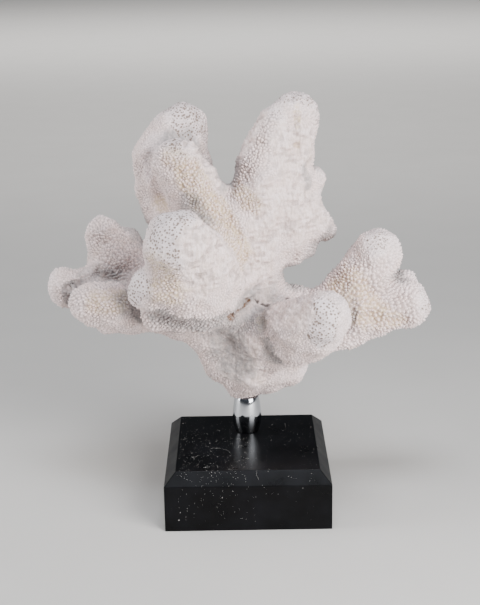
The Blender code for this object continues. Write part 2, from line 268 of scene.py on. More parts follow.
def metres(values: tuple[float, ...]) -> tuple[float, ...]:
    """Turns millimetres into metres, rounded to the very numbers that the CAD part has."""
    return tuple(round(value / 1000, 7) for value in values)


def grooves(*rows: tuple[float, ...]) -> tuple[Groove, ...]:
    """Grooves from rows of start, end, width and depth in millimetres."""
    return tuple(Groove(metres(row[:3]), metres(row[3:6]), *metres(row[6:])) for row in rows)


def zones(kind: Character, *rows: tuple[float, ...]) -> tuple[Zone, ...]:
    """Zones of one kind from rows of start, end and reach in millimetres, and the share if not 1."""
    return tuple(Zone(kind, metres(row[:3]), metres(row[3:6]), *metres(row[6:7]), *row[7:]) for row in rows)


# The grooves and hollows of the CAD part's skin, the first one softer here
MAIN_GROOVES = grooves(
    (29, 16, 249, 33.5, 11.5, 212, 2.6, 1.2),
    (26, 6, 196, 21, 1, 160, 5, 2),
    (38.5, 16, 207, 37.5, 16, 196, 2.5, 2),
    (-45, 22, 224, -33, 26, 221, 3, 2.6),
    (-33, 26, 221, -19, 28, 203, 3, 2.6),
    (2, -12, 134, 2, -11, 129, 2.5, 3),
    (2, -11, 129, -9, -21, 125, 3, 4),
    (-52, -29, 128, -12, -28, 126, 4, 2.2),
    (11, -25, 109, 17, -23, 99, 3.8, 4),
    (-10, -7, 100, -8, -6, 96, 6, 3),
    (9, -22, 122, 11, -21, 119, 4, 2.2),
    (4, -13, 100, 4, -7, 78, 6, -1.4),
    (-56, 17, 214, -50, 10, 188, 5, 2.2),
    (-107, 5, 136, -90, 8.5, 142.5, 2.6, 2.8),
    (-90, 8.5, 142.5, -71, -1, 140, 2.6, 2.8),
    (-107, 5, 136, -106, 4, 124, 2.5, 2),
    (73, -12, 121, 78, -12, 118, 4, 2),
    (88, -10, 118, 93, -10, 118, 4, 2),
    (64, -12, 128, 62, -11, 112, 3.5, 2),
)

# Fine creases and holes, too small for the CAD part; their bottoms are darkened as painted shade
FINE_GROOVES = grooves(
    (9.8, -7.2, 128.3, 14, -8.2, 128.5, 1, 1),
    (14, -8.2, 128.5, 18.7, -11, 129.9, 1.2, 1),
    (18.7, -9, 129.2, 25.7, 0.3, 129.6, 1.2, 0.9),
    (6.3, -6.9, 131.1, 7.4, -7.1, 129.2, 0.8, 1.1),
    (8.1, -6.4, 130.2, 8.1, -6.4, 130, 0.7, 0.9),
    (0.9, -9.2, 132.5, 2.6, -7.6, 130.7, 0.6, 0.6),
    (2.6, -7.6, 130.7, -1, -10.3, 127.9, 0.7, 0.7),
    (-1, -10.3, 127.9, -6.4, -16.1, 125.4, 0.7, 0.7),
    (-6.4, -16.1, 125.4, -8.8, -18.2, 124.2, 0.8, 0.7),
    (-43, 23, 225, -37, 26, 224, 1.2, 0.7),
    (-37, 26, 224, -32, 29, 221, 1.2, 0.6),
    (37, 14, 206, 39, 16, 201, 1.1, 0.6),
    (35.1, 15.4, 246, 35.1, 15.4, 246.2, 0.7, 0.9),
    (28.4, 10.9, 238.5, 28.4, 10.9, 238.7, 0.6, 0.9),
    (32, 13, 225.7, 32, 13, 225.9, 0.6, 0.9),
    (34.9, 12.4, 208.3, 34.9, 12.4, 208.5, 0.6, 0.9),
)

# Which parts of the skin are beaded, porous, worn or stained
ZONES = (
    *zones(
        Character.BEADED,
        (-43, 1, 218, -34, -1, 212, 9.5),
        (-34, -1, 212, -11, -5, 176, 10),
        (-11, -5, 176, -3, -9, 160, 10),
        (-3, 6, 200, 6, 4, 215, 6),
        (6, 4, 215, 18, 10, 237, 4.5, 0.9),
        (-3, 4, 194, 5, 0, 188, 7, 0.9),
        (-46, -46, 165, -48, -46, 150, 12, 0.5),
        (-52, 10, 215, -50, 8, 188, 8, 0.5),
        (60, -8, 135, 85, -10, 122, 19, 0.8),
        (-98, -13, 136, -75, -15, 134, 12, 0.5),
        (-90, 14, 167, -75, 11, 155, 14, 0.6),
        (-55, -28, 126, -15, -26, 124, 9, 0.8),
        (34, 10, 151, 52, 22, 161, 6),
        (46, 26, 238, 46, 26, 215, 7, 0.9),
        (-21, 35, 236, -16, 32, 205, 9.5, 0.9),
        (-65, 23, 205, -61, 20, 182, 6, 0.8),
    ),
    *zones(
        Character.COARSE,
        (40, 0, 120, 100, 0, 135, 32),
        (-3, 6, 196, 10, 6, 222, 8, 0.5),
        (-43, 1, 218, -3, -9, 160, 12, 0.4),
        (-110, 0, 130, -75, 0, 145, 30, 0.5),
        (-90, 14, 167, -75, 11, 150, 18, 0.4),
        (-50, -30, 126, -15, -28, 124, 14, 0.5),
        (-20, -10, 85, 40, -20, 100, 20, 0.5),
        (-44, -48, 160, -30, -44, 140, 13, 0.4),
    ),
    *zones(
        Character.POROUS,
        (-38, -44, 189, -40, -46, 176, 16.5),
        (-62, -32, 147, -58, -34, 150, 11),
        (45, -53, 138, 43, -52, 122, 10),
        (-39, 6, 224, -34, 4, 221, 8, 0.8),
        (-36, 40, 240, -34, 34, 232, 15, 0.7),
        (24, 17, 248, 39, 19, 247, 8, 0.6),
        (19, 10, 239, 21, 8, 230, 7, 0.6),
        (80, 0, 169, 79, -4, 163, 9, 0.6),
        (110, -4, 130, 108, -2, 124, 9, 0.6),
    ),
    *zones(
        Character.WORN,
        (-25, -49, 179, -22, -43, 154, 13),
        (-21, -37, 184, -4, -22, 153, 11),
        (16, 0, 192, 11, -2, 166, 12.5, 0.9),
        (21, 8, 230, 24, 6, 207, 8, 0.8),
        (-1, 8, 210, 12, 15, 238, 5.5, 0.9),
        (36, 10, 225, 34, 8, 173, 12),
        (34, 8, 173, 47, 18, 176, 11, 0.8),
        (8, -4, 160, 6, -4, 136, 14),
        (-30, 7, 221, -11, 6, 196, 7.5, 0.95),
        (4, -16, 105, 4, -7, 79, 8, 0.9),
        (-14, -6, 108, -8, -5, 86, 11, 0.7),
        (20, -26, 127, 32, -44, 134, 10, 0.8),
    ),
    *zones(
        Character.BEIGE,
        (-41, 1, 216, -30, -2, 206, 8, 0.6),
        (-30, -2, 206, -3, -9, 160, 10.5),
        (-2, 4, 196, 7, 1, 188, 6, 0.8),
        (-51, 14, 186, -50, 13, 184, 6),
        (-46, -46, 166, -44, -46, 148, 11, 0.9),
        (62, -8, 136, 72, -12, 124, 14),
        (72, -12, 121, 91, -10, 117, 7),
        (-86, -15.5, 134, -75, -15, 134, 9, 0.9),
        # This row also paints the shade of the saddle between the finger and the mound, over a warm stain
        (8, -22, 122, 11, -20, 120, 6),
        (32.6, 13.5, 243.9, 32.6, 13.1, 221.4, 2.6, 0.9),
    ),
    *zones(
        Character.RUST,
        (0.9, -9.2, 132.5, 2.6, -7.6, 130.7, 1.3, 0.7),
        (2.6, -7.6, 130.7, -1, -10.3, 127.9, 1, 0.9),
        (-1, -10.3, 127.9, -8.8, -18.2, 124.2, 1, 0.9),
        (-8.8, -18.2, 124.2, -8.5, -18, 124.6, 2.8),
    ),
    # Grey dirt and painted shade: these rows lie under the mound, on the trunk below it, under the finger,
    # in the saddle, in the creases beside the side knob and behind the front ridge, and between two
    # far-left knobs
    *zones(
        Character.GREY,
        (-50, -33, 129, -12, -24, 122, 9, 0.9),
        (-10, -6, 116, -8, -6, 92, 15),
        (12, -27, 109, 17, -23, 98, 6),
        (10, -20, 121, 10, -16, 126, 8),
        (-30, 0, 118, -12, -6, 110, 10, 0.7),
        (37, 14, 206, 40, 18, 195, 3.5, 0.9),
        (-43, 23, 225, -28, 30, 218, 3, 0.8),
        (-97, 11.5, 144, -74, 6, 144, 7, 0.6),
    ),
)

# The cells that part the coral as the CAD part does: a centre, and how far the cell reaches
# past halfway. A place is in the cell for which distance squared less reach is least.
FORK_CELLS: dict[str, tuple[Vec, float]] = {
    "coral_trunk": ((0.003, 0.012, 0.106), 0.0),
    "coral_lobe_front_left": ((-0.033, -0.026, 0.155), 0.0011),
    "coral_branch_far_left": ((-0.090, 0.014, 0.136), 0.00125),
    "coral_branch_back_left": ((-0.034, 0.022, 0.200), 0.00177),
    "coral_branch_back_right": ((0.018, 0.020, 0.200), 0.00177),
    "coral_branch_right": ((0.082, 0.006, 0.128), 0.0),
    "coral_branch_front_right": ((0.034, -0.030, 0.118), 0.0),
    "coral_branch_back": ((-0.010, 0.064, 0.138), 0.00185),
}


def mesh_of(name: str, points: Array, *kinds: Array) -> Mesh:
    """Makes a mesh from arrays.

    Args:
        name: The mesh's name.
        points: Rows of x, y and z.
        kinds: Rows of corner numbers, one array for each number of corners.

    Returns:
        The mesh, shaded smooth.
    """
    mesh = bpy.data.meshes.new(name)
    corners = np.concatenate([faces.ravel() for faces in kinds])
    sides = np.concatenate([np.full(len(faces), faces.shape[1]) for faces in kinds])
    mesh.vertices.add(len(points))
    mesh.vertices.foreach_set("co", points.astype(np.float32).ravel())
    mesh.loops.add(len(corners))
    mesh.loops.foreach_set("vertex_index", corners.astype(np.int32))
    mesh.polygons.add(len(sides))
    mesh.polygons.foreach_set("loop_start", (np.cumsum(sides) - sides).astype(np.int32))
    mesh.update(calc_edges=True)
    mesh.shade_smooth()
    return mesh


def add_piece(name: str, mesh: Mesh, material: Material | None = None) -> Object:
    """Puts a mesh in the scene.

    Args:
        name: The object's name.
        mesh: Its mesh.
        material: Its finish, if it has one.

    Returns:
        The object, at the origin.
    """
    piece = bpy.data.objects.new(name, mesh)
    bpy.context.scene.collection.objects.link(piece)
    if material:
        mesh.materials.append(material)
    return piece


def grid_faces(rows: int, columns: int) -> Array:
    """The quads of a grid of points that wraps round its columns.

    Args:
        rows: How many rows of points.
        columns: How many points in a row.

    Returns:
        Rows of four corner numbers.
    """
    row = np.arange(rows - 1)[:, None] * columns
    column = np.arange(columns)[None, :]
    beside = (column + 1) % columns
    corners = (row + column, row + beside, row + columns + beside, row + columns + column)
    return np.stack([corner.ravel() for corner in corners], axis=1)


def corner_normals(points: Array, quads: Array) -> Array:
    """Works out the normals at the points.

    Args:
        points: Rows of x, y and z.
        quads: Rows of four corner numbers.

    Returns:
        For each point the sum of the area normals of the quads round it, made length 1.
    """
    corners = points[quads]
    areas = np.cross(corners[:, 2] - corners[:, 0], corners[:, 3] - corners[:, 1])
    total = np.empty_like(points)
    for axis in range(3):
        weights = np.repeat(areas[:, axis], 4)
        total[:, axis] = np.bincount(quads.ravel(), weights=weights, minlength=len(points))
    return unit(total)


@dataclass
class CoralSkin:
    """The smooth skin of the whole coral, as the CAD part has it.

    Each limb is a chain of round-ended tapered links. The limbs' distances melt by a soft
    minimum, minus blend times the logarithm of the sum of exp(-distance / blend).

    Attributes:
        blend: How softly the limbs melt together.
        swell_height: Height of the waves that run over the whole skin.
        swells: Each wave's direction, length and phase.
        growth_reach: How far from a link its direction still counts.
        voxel: How coarse the first mesh is, before it is divided twice.
        link_sides: Points round a link of the first mesh.
        cap_rings: Rings in each round end of a link.
        limbs: The stations of every limb, in metres.
    """

    blend: float = 0.0025
    swell_height: float = 0.0003
    swells: tuple[tuple[Vec, float, float], ...] = (
        ((1.0, 0.4, 0.2), 0.0170, 0.3),
        ((-0.3, 1.0, 0.5), 0.0150, 1.7),
        ((0.2, -0.6, 1.0), 0.0135, 4.1),
        ((0.8, 0.1, -0.9), 0.0190, 2.6),
        ((-0.6, -0.8, 0.7), 0.0120, 5.2),
    )
    growth_reach: float = 0.0040
    voxel: float = 0.0023
    link_sides: int = 24
    cap_rings: int = 7
    limbs: list[Array] = field(init=False)

    def __post_init__(self) -> None:
        """Lists every limb's stations."""
        chains = [chain for branch in LIMBS.values() for chain in branch.values()]
        self.limbs = [np.array([metres(station) for station in chain]) for chain in chains]

    def depth(self, points: Array) -> Array:
        """Measures how deep points lie.

        Args:
            points: Rows of x, y and z.

        Returns:
            Each point's distance from the skin, below zero inside.
        """
        total = np.zeros(len(points))
        for stations in self.limbs:
            nearest = np.full(len(points), np.inf)
            for start, end in zip(stations[:-1], stations[1:]):
                offset, share = line_offset(points, start, end)
                nearest = np.minimum(nearest, offset - start[3] - share * (end[3] - start[3]))
            total += np.exp(-nearest / self.blend)
        depth = -self.blend * np.log(total)
        for groove in MAIN_GROOVES:
            depth += groove.cut(points)
        for direction, length, phase in self.swells:
            wave = points @ np.array(direction) / np.linalg.norm(direction)
            depth += self.swell_height * np.sin(2 * math.pi * wave / length + phase)
        return depth

    def slope(self, points: Array, step: float = 0.0004) -> Array:
        """Works out the slope of the depth.

        Args:
            points: Rows of x, y and z.
            step: How far to each side the depth is measured.

        Returns:
            The slope at each point, by central differences.
        """
        slope = np.empty_like(points)
        for axis in range(3):
            aside = np.zeros(3)
            aside[axis] = step
            slope[:, axis] = (self.depth(points + aside) - self.depth(points - aside)) / (2 * step)
        return slope

    def growth(self, points: Array) -> tuple[Array, Array]:
        """Works out which way the coral grew.

        Args:
            points: Rows of x, y and z.

        Returns:
            The direction from root to tip of the links nearby, weighed by nearness, and how
            near each point is to a limb's end, from 0 to 1.
        """
        heading = np.zeros_like(points)
        tip = np.zeros(len(points))
        for stations in self.limbs:
            for start, end in zip(stations[:-1], stations[1:]):
                offset, share = line_offset(points, start, end)
                weight = np.exp(-(offset - start[3] - share * (end[3] - start[3])) / self.growth_reach)
                along = (end[:3] - start[:3]) / np.linalg.norm(end[:3] - start[:3])
                heading += weight[:, None] * along
            last = stations[-1]
            # The tip is the skin round a place most of a radius past the last station
            beyond = last[:3] + along * 0.8 * last[3]
            distance = np.linalg.norm(points - beyond, axis=1)
            tip = np.maximum(tip, eased(1.25, 0.55, distance / last[3]))
        return unit(heading), tip

    def link(self, start: Array, end: Array) -> tuple[Array, Array]:
        """Makes one link as a closed grid: a half ball at each end and a straight taper between.

        Args:
            start: x, y, z and radius.
            end: The same at the far end.

        Returns:
            The points and the quads, with a pinched ring at each pole.
        """
        axis = end[:3] - start[:3]
        length = float(np.linalg.norm(axis))
        ahead = axis / length
        # Any direction serves that no link runs along
        side = unit(np.cross(ahead, (0.31, 0.27, 0.91))[None])[0]
        over = np.cross(ahead, side)
        turn = np.linspace(0.002, math.pi / 2, self.cap_rings)
        along = np.concatenate([-start[3] * np.cos(turn), length + end[3] * np.cos(turn[::-1])])
        radius = np.concatenate([start[3] * np.sin(turn), end[3] * np.sin(turn[::-1])])
        around = np.arange(self.link_sides) * 2 * math.pi / self.link_sides
        ring = np.cos(around)[:, None] * side + np.sin(around)[:, None] * over
        points = start[:3] + along[:, None, None] * ahead + radius[:, None, None] * ring
        points = points.reshape(-1, 3)
        quads = grid_faces(2 * self.cap_rings, self.link_sides)
        poles = np.array([points[: self.link_sides].mean(axis=0), points[-self.link_sides:].mean(axis=0)])
        count = len(points)
        here = np.arange(self.link_sides)
        beside = (here + 1) % self.link_sides
        top = count - self.link_sides
        foot_cap = np.stack([beside, here, np.full_like(here, count), beside], axis=1)
        head_cap = np.stack([top + here, top + beside, np.full_like(here, count + 1), top + here], axis=1)
        return np.concatenate([points, poles]), np.concatenate([quads, foot_cap, head_cap])

    def build(self) -> tuple[Array, Array, Array]:
        """Makes the skin: links, remeshed as one, drawn onto the skin, and divided twice.

        Returns:
            The points, the quads and the normals.
        """
        points, quads, count = [], [], 0
        for stations in self.limbs:
            for start, end in zip(stations[:-1], stations[1:]):
                some, faces = self.link(start, end)
                points.append(some)
                quads.append(faces + count)
                count += len(some)
        seed = seed_mesh(np.concatenate(points), np.concatenate(quads))
        body = add_piece("skin_seed", seed)
        weld = body.modifiers.new("one skin", "REMESH")
        weld.mode = "VOXEL"
        weld.voxel_size = self.voxel
        coarse = evaluated(body)
        places = read_points(coarse)
        # Four Newton steps down the slope of the depth bring the remeshed points onto the skin
        for _ in range(4):
            slope = self.slope(places)
            steep = np.maximum((slope**2).sum(axis=1), 0.1)
            places -= slope * (self.depth(places) / steep)[:, None]
        coarse.vertices.foreach_set("co", places.astype(np.float32).ravel())
        body.modifiers.remove(weld)
        body.data = coarse
        finer = body.modifiers.new("finer", "SUBSURF")
        finer.levels = finer.render_levels = 2
        fine = evaluated(body)
        bpy.data.objects.remove(body, do_unlink=True)
        places, faces = read_points(fine), read_quads(fine)
        normals = corner_normals(places, faces)
        # The divided mesh is close already, so two short steps along its normals are enough
        for _ in range(2):
            places -= normals * np.clip(self.depth(places), -0.0008, 0.0008)[:, None]
            normals = corner_normals(places, faces)
        return places, faces, normals


def seed_mesh(points: Array, quads: Array) -> Mesh:
    """Makes the first mesh of the skin.

    Args:
        points: Rows of x, y and z.
        quads: Rows of four corner numbers, a triangle where the first is repeated at the end.

    Returns:
        The mesh.
    """
    mesh = bpy.data.meshes.new("seed")
    faces = [row[:3] if row[0] == row[3] else row for row in quads.tolist()]
    mesh.from_pydata(points.tolist(), [], faces)
    return mesh


def evaluated(piece: Object) -> Mesh:
    """The piece's mesh with its modifiers worked out."""
    graph = bpy.context.evaluated_depsgraph_get()
    return bpy.data.meshes.new_from_object(piece.evaluated_get(graph), depsgraph=graph)


def read_points(mesh: Mesh) -> Array:
    """The mesh's points as rows of x, y and z."""
    values = np.empty(len(mesh.vertices) * 3, np.float32)
    mesh.vertices.foreach_get("co", values)
    return values.reshape(-1, 3).astype(float)


def read_quads(mesh: Mesh) -> Array:
    """The corner numbers of a mesh that has only quads."""
    values = np.empty(len(mesh.loops), np.int32)
    mesh.loops.foreach_get("vertex_index", values)
    return values.reshape(-1, 4).astype(np.int64)


class CentreGrid:
    """Centres sorted into cubes, so that the nearest to many points are found as whole arrays."""

    def __init__(self, centres: Array, cube: float) -> None:
        """Sorts the centres.

        Args:
            centres: Rows of x, y and z.
            cube: The cubes' side, no less than the farthest that a nearest centre may be.
        """
        self.centres = centres
        self.cube = cube
        self.origin = centres.min(axis=0) - 2 * cube
        self.shape = (np.ceil((centres.max(axis=0) - self.origin) / cube) + 3).astype(int)
        place = self.flat(np.floor((centres - self.origin) / cube).astype(int))
        order = np.argsort(place, kind="stable")
        ranked = place[order]
        rank = np.arange(len(order)) - np.searchsorted(ranked, ranked)
        self.table = np.full((int(np.prod(self.shape)), int(rank.max()) + 1), -1)
        self.table[ranked, rank] = order

    def flat(self, cells: Array) -> Array:
        """One number for each cube."""
        cells = np.clip(cells, 0, self.shape - 1)
        return (cells[:, 0] * self.shape[1] + cells[:, 1]) * self.shape[2] + cells[:, 2]

    def three_nearest(self, points: Array) -> tuple[Array, Array, Array, Array]:
        """Finds the three nearest centres of each point among those in the cubes round it.

        Args:
            points: Rows of x, y and z.

        Returns:
            The nearest centre's number, and the distances of the nearest, second and third.
        """
        cells = np.floor((points - self.origin) / self.cube).astype(int)
        best = np.zeros(len(points), int)
        nearest = np.full((3, len(points)), 4 * self.cube**2)
        for step in np.ndindex(3, 3, 3):
            found = self.table[self.flat(cells + np.array(step) - 1)]
            for slot in range(found.shape[1]):
                rows = np.flatnonzero(found[:, slot] >= 0)
                if not len(rows):
                    continue
                number = found[rows, slot]
                away = ((points[rows] - self.centres[number]) ** 2).sum(axis=1)
                first, second, third = nearest[:, rows]
                best[rows[away < first]] = number[away < first]
                later = np.maximum(away, first)
                nearest[0, rows] = np.minimum(away, first)
                nearest[1, rows] = np.minimum(later, second)
                nearest[2, rows] = np.minimum(np.maximum(later, second), third)
        return best, *np.sqrt(nearest)


@dataclass
class Verrucae:
    """The bumps and cup pits that cover the skin, set at evenly spread centres.

    A bump's height falls from its centre to the border with the next bump: with e from 0 at
    the border to 1 at the centre, 1 - (1 - e)^roundness. A pit is a bell curve round the centre.

    Attributes:
        pitch: The cubes from which the centres are first drawn.
        reach: Farther from a point than any centre that matters to it.
        kept: The share of centres kept among bumps, among coarse bumps and on porous tips.
        rounds: How often each centre moves to the middle of its bump.
        bump_height: Height of a full bump.
        taller: How much its height varies: the least share, and what chance adds.
        spread: How much taller coarse bumps are.
        lean: How far its top leans towards the tip of the branch.
        waver: How far the borders between bumps wander.
        gap: The share of the way between two centres that is floor.
        roundness: How full a bump is.
        pit_radius: A cup pit's radius.
        pit_depth: Its depth.
        cup: How far from a centre its colour starts, the painted shade inside the pit.
        sunk: How far the floor between bumps lies under the CAD part's skin.
        seed: Which draw of centres.
    """

    pitch: float = 0.00150
    reach: float = 0.0030
    kept: Vec = (0.72, 0.34, 0.30)
    rounds: int = 3
    bump_height: float = 0.00125
    taller: tuple[float, float] = (0.72, 0.45)
    spread: float = 0.50
    lean: float = 0.00060
    waver: float = 0.00024
    gap: float = 0.13
    roundness: float = 2.4
    pit_radius: float = 0.00050
    pit_depth: float = 0.00050
    cup: float = 0.00100
    sunk: float = 0.00045
    seed: int = 7

    def centres(self, points: Array, coarse: Array, porous: Array) -> Array:
        """Draws one point in each small cube of the skin, evens them out and sets each on a point.

        Args:
            points: The skin's points.
            coarse: Where bumps lie further apart, 0 to 1.
            porous: Where the skin is porous, 0 to 1.

        Returns:
            The centres.
        """
        rng = np.random.default_rng(self.seed)
        shuffled = rng.permutation(len(points))
        cubes = np.floor(points[shuffled] / self.pitch).astype(np.int64)
        _, first = np.unique(cubes @ np.array((1, 4096, 16777216)), return_index=True)
        chosen = shuffled[first]
        bumps, rough, pits = self.kept
        share = bumps + (rough - bumps) * coarse[chosen]
        share += (pits - share) * porous[chosen]
        centres = points[chosen[rng.random(len(chosen)) < share]]
        sample = points[shuffled[: len(points) // 3]]
        for _ in range(self.rounds):
            nearest = CentreGrid(centres, self.reach).three_nearest(sample)[0]
            count = np.bincount(nearest, minlength=len(centres))
            sums = [np.bincount(nearest, weights=column, minlength=len(centres)) for column in sample.T]
            mean = np.stack(sums, axis=1) / np.maximum(count, 1)[:, None]
            centres = np.where(count[:, None] > 0, mean, centres)
        nearest, away = CentreGrid(centres, self.reach).three_nearest(sample)[:2]
        order = np.lexsort((away, nearest))
        owner, first = np.unique(nearest[order], return_index=True)
        centres[owner] = sample[order[first]]
        return centres


@dataclass(frozen=True)
class LowRelief:
    """Heights of the low shapes on the skin, apart from its bumps and pits.

    Attributes:
        knolls: Waves 9 mm across.
        dimples: Waves 4.2 mm across.
        streaks: Upright streaks where the skin is rubbed.
        cobbles: Low cobbles there.
        stumps: What is left of the bumps there.
        tip_bumps: The bumps of a porous tip.
        crust: Lumps where the grey zones lie.
        grit: Grit all over.
        rubbed_grit: How much more of it there is where the skin is rubbed.
        crack: How deep a crease is that shows its full colour, painted shade at its bottom.
    """

    knolls: float = 0.00055
    dimples: float = 0.00046
    streaks: float = 0.00050
    cobbles: float = 0.00120
    stumps: float = 0.00018
    tip_bumps: float = 0.00012
    crust: float = 0.00060
    grit: float = 0.00009
    rubbed_grit: float = 0.00011
    crack: float = 0.0009


@dataclass
class SkinState:
    """What the skin is like at each point, each from 0 to about 1.

    Attributes:
        beaded: How high the bumps stand.
        strong: Whether they are at their boldest.
        porous: Whether there are cup pits.
        worn: How rubbed it is.
        coarse: How far apart the bumps lie.
        beige: How stained the gaps are.
        rust: How brown it is.
        grey: How much grey dirt and painted shade there is.
    """

    beaded: Array
    strong: Array
    porous: Array
    worn: Array
    coarse: Array
    beige: Array
    rust: Array
    grey: Array


@dataclass
class Coral:
    """The coral skeleton: one skin, parted at the main forks into a piece for each CAD node.

    Attributes:
        skin: The smooth skin.
        verrucae: Its bumps and pits.
        low: Its low shapes.
        cap_rings: How many rings sink inside from each open rim before it is closed.
        cap_step: How far apart they are.
    """

    skin: CoralSkin = field(default_factory=CoralSkin)
    verrucae: Verrucae = field(default_factory=Verrucae)
    low: LowRelief = LowRelief()
    cap_rings: int = 5
    cap_step: float = 0.0020

    def state(self, points: Array, tip: Array) -> SkinState:
        """Works out the zones at each point.

        Args:
            points: The skin's points.
            tip: How near each is to a limb's end.

        Returns:
            The skin's state.
        """
        waver = lattice_noise(points, 0.0060, 11) + 0.5 * lattice_noise(points, 0.0025, 12)
        found = {kind: np.zeros(len(points)) for kind in Character}
        for zone in ZONES:
            found[zone.kind] = np.maximum(found[zone.kind], zone.weight(points, waver))
        worn = found[Character.WORN]
        strong = found[Character.BEADED]
        porous = np.maximum(found[Character.POROUS], 0.45 * tip * (1 - worn) * (1 - strong))
        beaded = (0.80 + 0.30 * strong) * (1 - 0.65 * porous) * (1 - 0.85 * worn * (1 - strong))
        return SkinState(
            beaded=beaded,
            strong=strong,
            porous=porous * (1 - 0.8 * worn),
            worn=worn * (1 - strong),
            coarse=found[Character.COARSE],
            beige=found[Character.BEIGE],
            rust=found[Character.RUST],
            grey=found[Character.GREY],
        )

    def relief(self, points: Array, normals: Array) -> tuple[Array, Array, Array]:
        """Raises the bumps and sinks the pits.

        Args:
            points: The smooth skin's points.
            normals: Their normals.

        Returns:
            The new points, rows of (gap, cup, porous, crevice) and rows of (beige, rust, grey, worn); gap,
            cup and crevice are painted shade between the bumps, in the pits and in creases, and grey holds
            grey dirt and the painted shade of hollows.
        """
        made, low = self.verrucae, self.low
        heading, tip = self.skin.growth(points)
        state = self.state(points, tip)
        wander = [lattice_noise(points, 0.0014, 31 + axis) for axis in range(3)]
        warped = points + made.waver * np.stack(wander, axis=1)
        centres = made.centres(warped, state.coarse, state.porous)
        LOG.info("verrucae: %d centres", len(centres))
        nearest, first, second, third = CentreGrid(centres, made.reach).three_nearest(warped)
        inward = (second - first) / np.maximum(second + first, 1e-9)
        corner = (third - first) / np.maximum(third + first, 1e-9)
        dome = 1 - (1 - np.clip((inward - made.gap) / (1 - made.gap), 0, 1)) ** made.roundness
        chance = np.random.default_rng(made.seed + 1).uniform(0.0, 1.0, (2, len(centres)))[:, nearest]
        tall = made.taller[0] + made.taller[1] * chance[0]
        open_pit = 0.68 + 0.32 * chance[1]
        pit = np.exp(-((first / made.pit_radius) ** 2)) * state.porous * open_pit
        streaks = lattice_noise(points * np.array((1.0, 1.0, 0.22)), 0.0011, 23)
        cobbles = lattice_noise(points * np.array((0.55, 0.55, 1.3)), 0.0021, 25)
        fine = sum(groove.cut(points) for groove in FINE_GROOVES)
        lift = made.bump_height * (1 + made.spread * state.coarse) * dome * tall * state.beaded
        lift += dome * (low.stumps * state.worn + low.tip_bumps * state.porous)
        lift -= made.pit_depth * pit
        lift -= made.sunk * state.beaded
        waves = low.knolls * lattice_noise(points, 0.0090, 21)
        waves += low.dimples * lattice_noise(points, 0.0042, 22)
        lift += waves
        lift += (low.streaks * streaks + low.cobbles * cobbles) * state.worn
        lift += low.crust * lattice_noise(points, 0.0032, 26) * state.grey
        lift += (low.grit + low.rubbed_grit * state.worn) * lattice_noise(points, 0.0011, 24)
        lift -= fine
        sideways = heading - normals * (heading * normals).sum(axis=1)[:, None]
        moved = points + normals * lift[:, None]
        moved += sideways * (made.lean * dome * state.beaded)[:, None]
        moved[:, 2] = np.maximum(moved[:, 2], CORAL_BOTTOM)
        # The gap's colour, painted shade between the bumps: the border between two bumps, and darker where
        # three meet
        gap = np.maximum(0.75 * eased(0.38, 0.03, inward), eased(0.46, 0.14, corner))
        gap *= np.clip(state.beaded * 1.25, 0, 1) * (0.55 + 0.45 * state.strong)
        # Painted shade in the dips between the rubbed cobbles
        gap = np.maximum(gap, 0.50 * state.worn * eased(0.05, 0.50, -cobbles))
        cup = np.clip(1 - first / (made.cup * (0.85 + 0.45 * chance[0])), 0, 1)
        cup *= open_pit * eased(0.30, 0.75, state.porous)
        # The crevice channel paints shade at the bottom of the fine creases and holes
        relief = np.stack([gap, cup, state.porous, np.clip(fine / low.crack, 0, 1)], axis=1)
        # The painted shade of hollows, where other skin comes close in front, joins the grey zones in one
        # channel
        film_and_shade = np.maximum(state.grey, self.hollow(points, normals))
        return moved, relief, np.stack([state.beige, state.rust, film_and_shade, state.worn], axis=1)

    def hollow(self, points: Array, normals: Array) -> Array:
        """Works out how shut in the skin is.

        Args:
            points: The smooth skin's points.
            normals: Their normals.

        Returns:
            From 0 to 1, how near other skin comes in front of each point.
        """
        steps = (0.006, 0.013, 0.024)
        clear = [np.clip(self.skin.depth(points + normals * step) / step, 0, 1) for step in steps]
        return eased(0.80, 0.36, np.mean(clear, axis=0))

    def cells(self, points: Array) -> Array:
        """The number of the fork cell that each point is in."""
        scores = [((points - centre) ** 2).sum(axis=1) - reach for centre, reach in FORK_CELLS.values()]
        return np.argmin(np.stack(scores), axis=0)

    def build(self, material: Material) -> list[Object]:
        """Builds and dresses the coral.

        Args:
            material: The skeleton's finish.

        Returns:
            Its pieces.
        """
        points, quads, normals = self.skin.build()
        LOG.info("coral skin: %d quads", len(quads))
        points, relief, stain = self.relief(points, normals)
        normals = corner_normals(points, quads)
        labels = self.cells(points[quads].mean(axis=1))
        pieces = []
        for number, node in enumerate(FORK_CELLS):
            mesh = self.share(node, points, quads[labels == number], normals, (relief, stain))
            piece = add_piece(node + "_skin", mesh, material)
            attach(piece, "root")
            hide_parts(node)
            LOG.info("%s: %d triangles", piece.name, len(mesh.loops) - 2 * len(mesh.polygons))
            pieces.append(piece)
        return pieces

    def share(
        self,
        name: str,
        points: Array,
        quads: Array,
        normals: Array,
        colours: tuple[Array, Array],
    ) -> Mesh:
        """Makes one piece of the coral, closed inside by rings and a fan from each open rim.

        Args:
            name: The mesh's name.
            points: All of the coral's points.
            quads: The piece's own quads.
            normals: All of the normals, which the piece keeps, so that no seam shows.
            colours: The relief and stain rows of all points.

        Returns:
            The mesh.
        """
        used, local = np.unique(quads, return_inverse=True)
        local = local.reshape(-1, 4)
        start, end = local.ravel(), np.roll(local, -1, axis=1).ravel()
        span = len(used) + 1
        open_edge = ~np.isin(start * span + end, end * span + start)
        rim = np.stack([start[open_edge], end[open_edge]], axis=1)
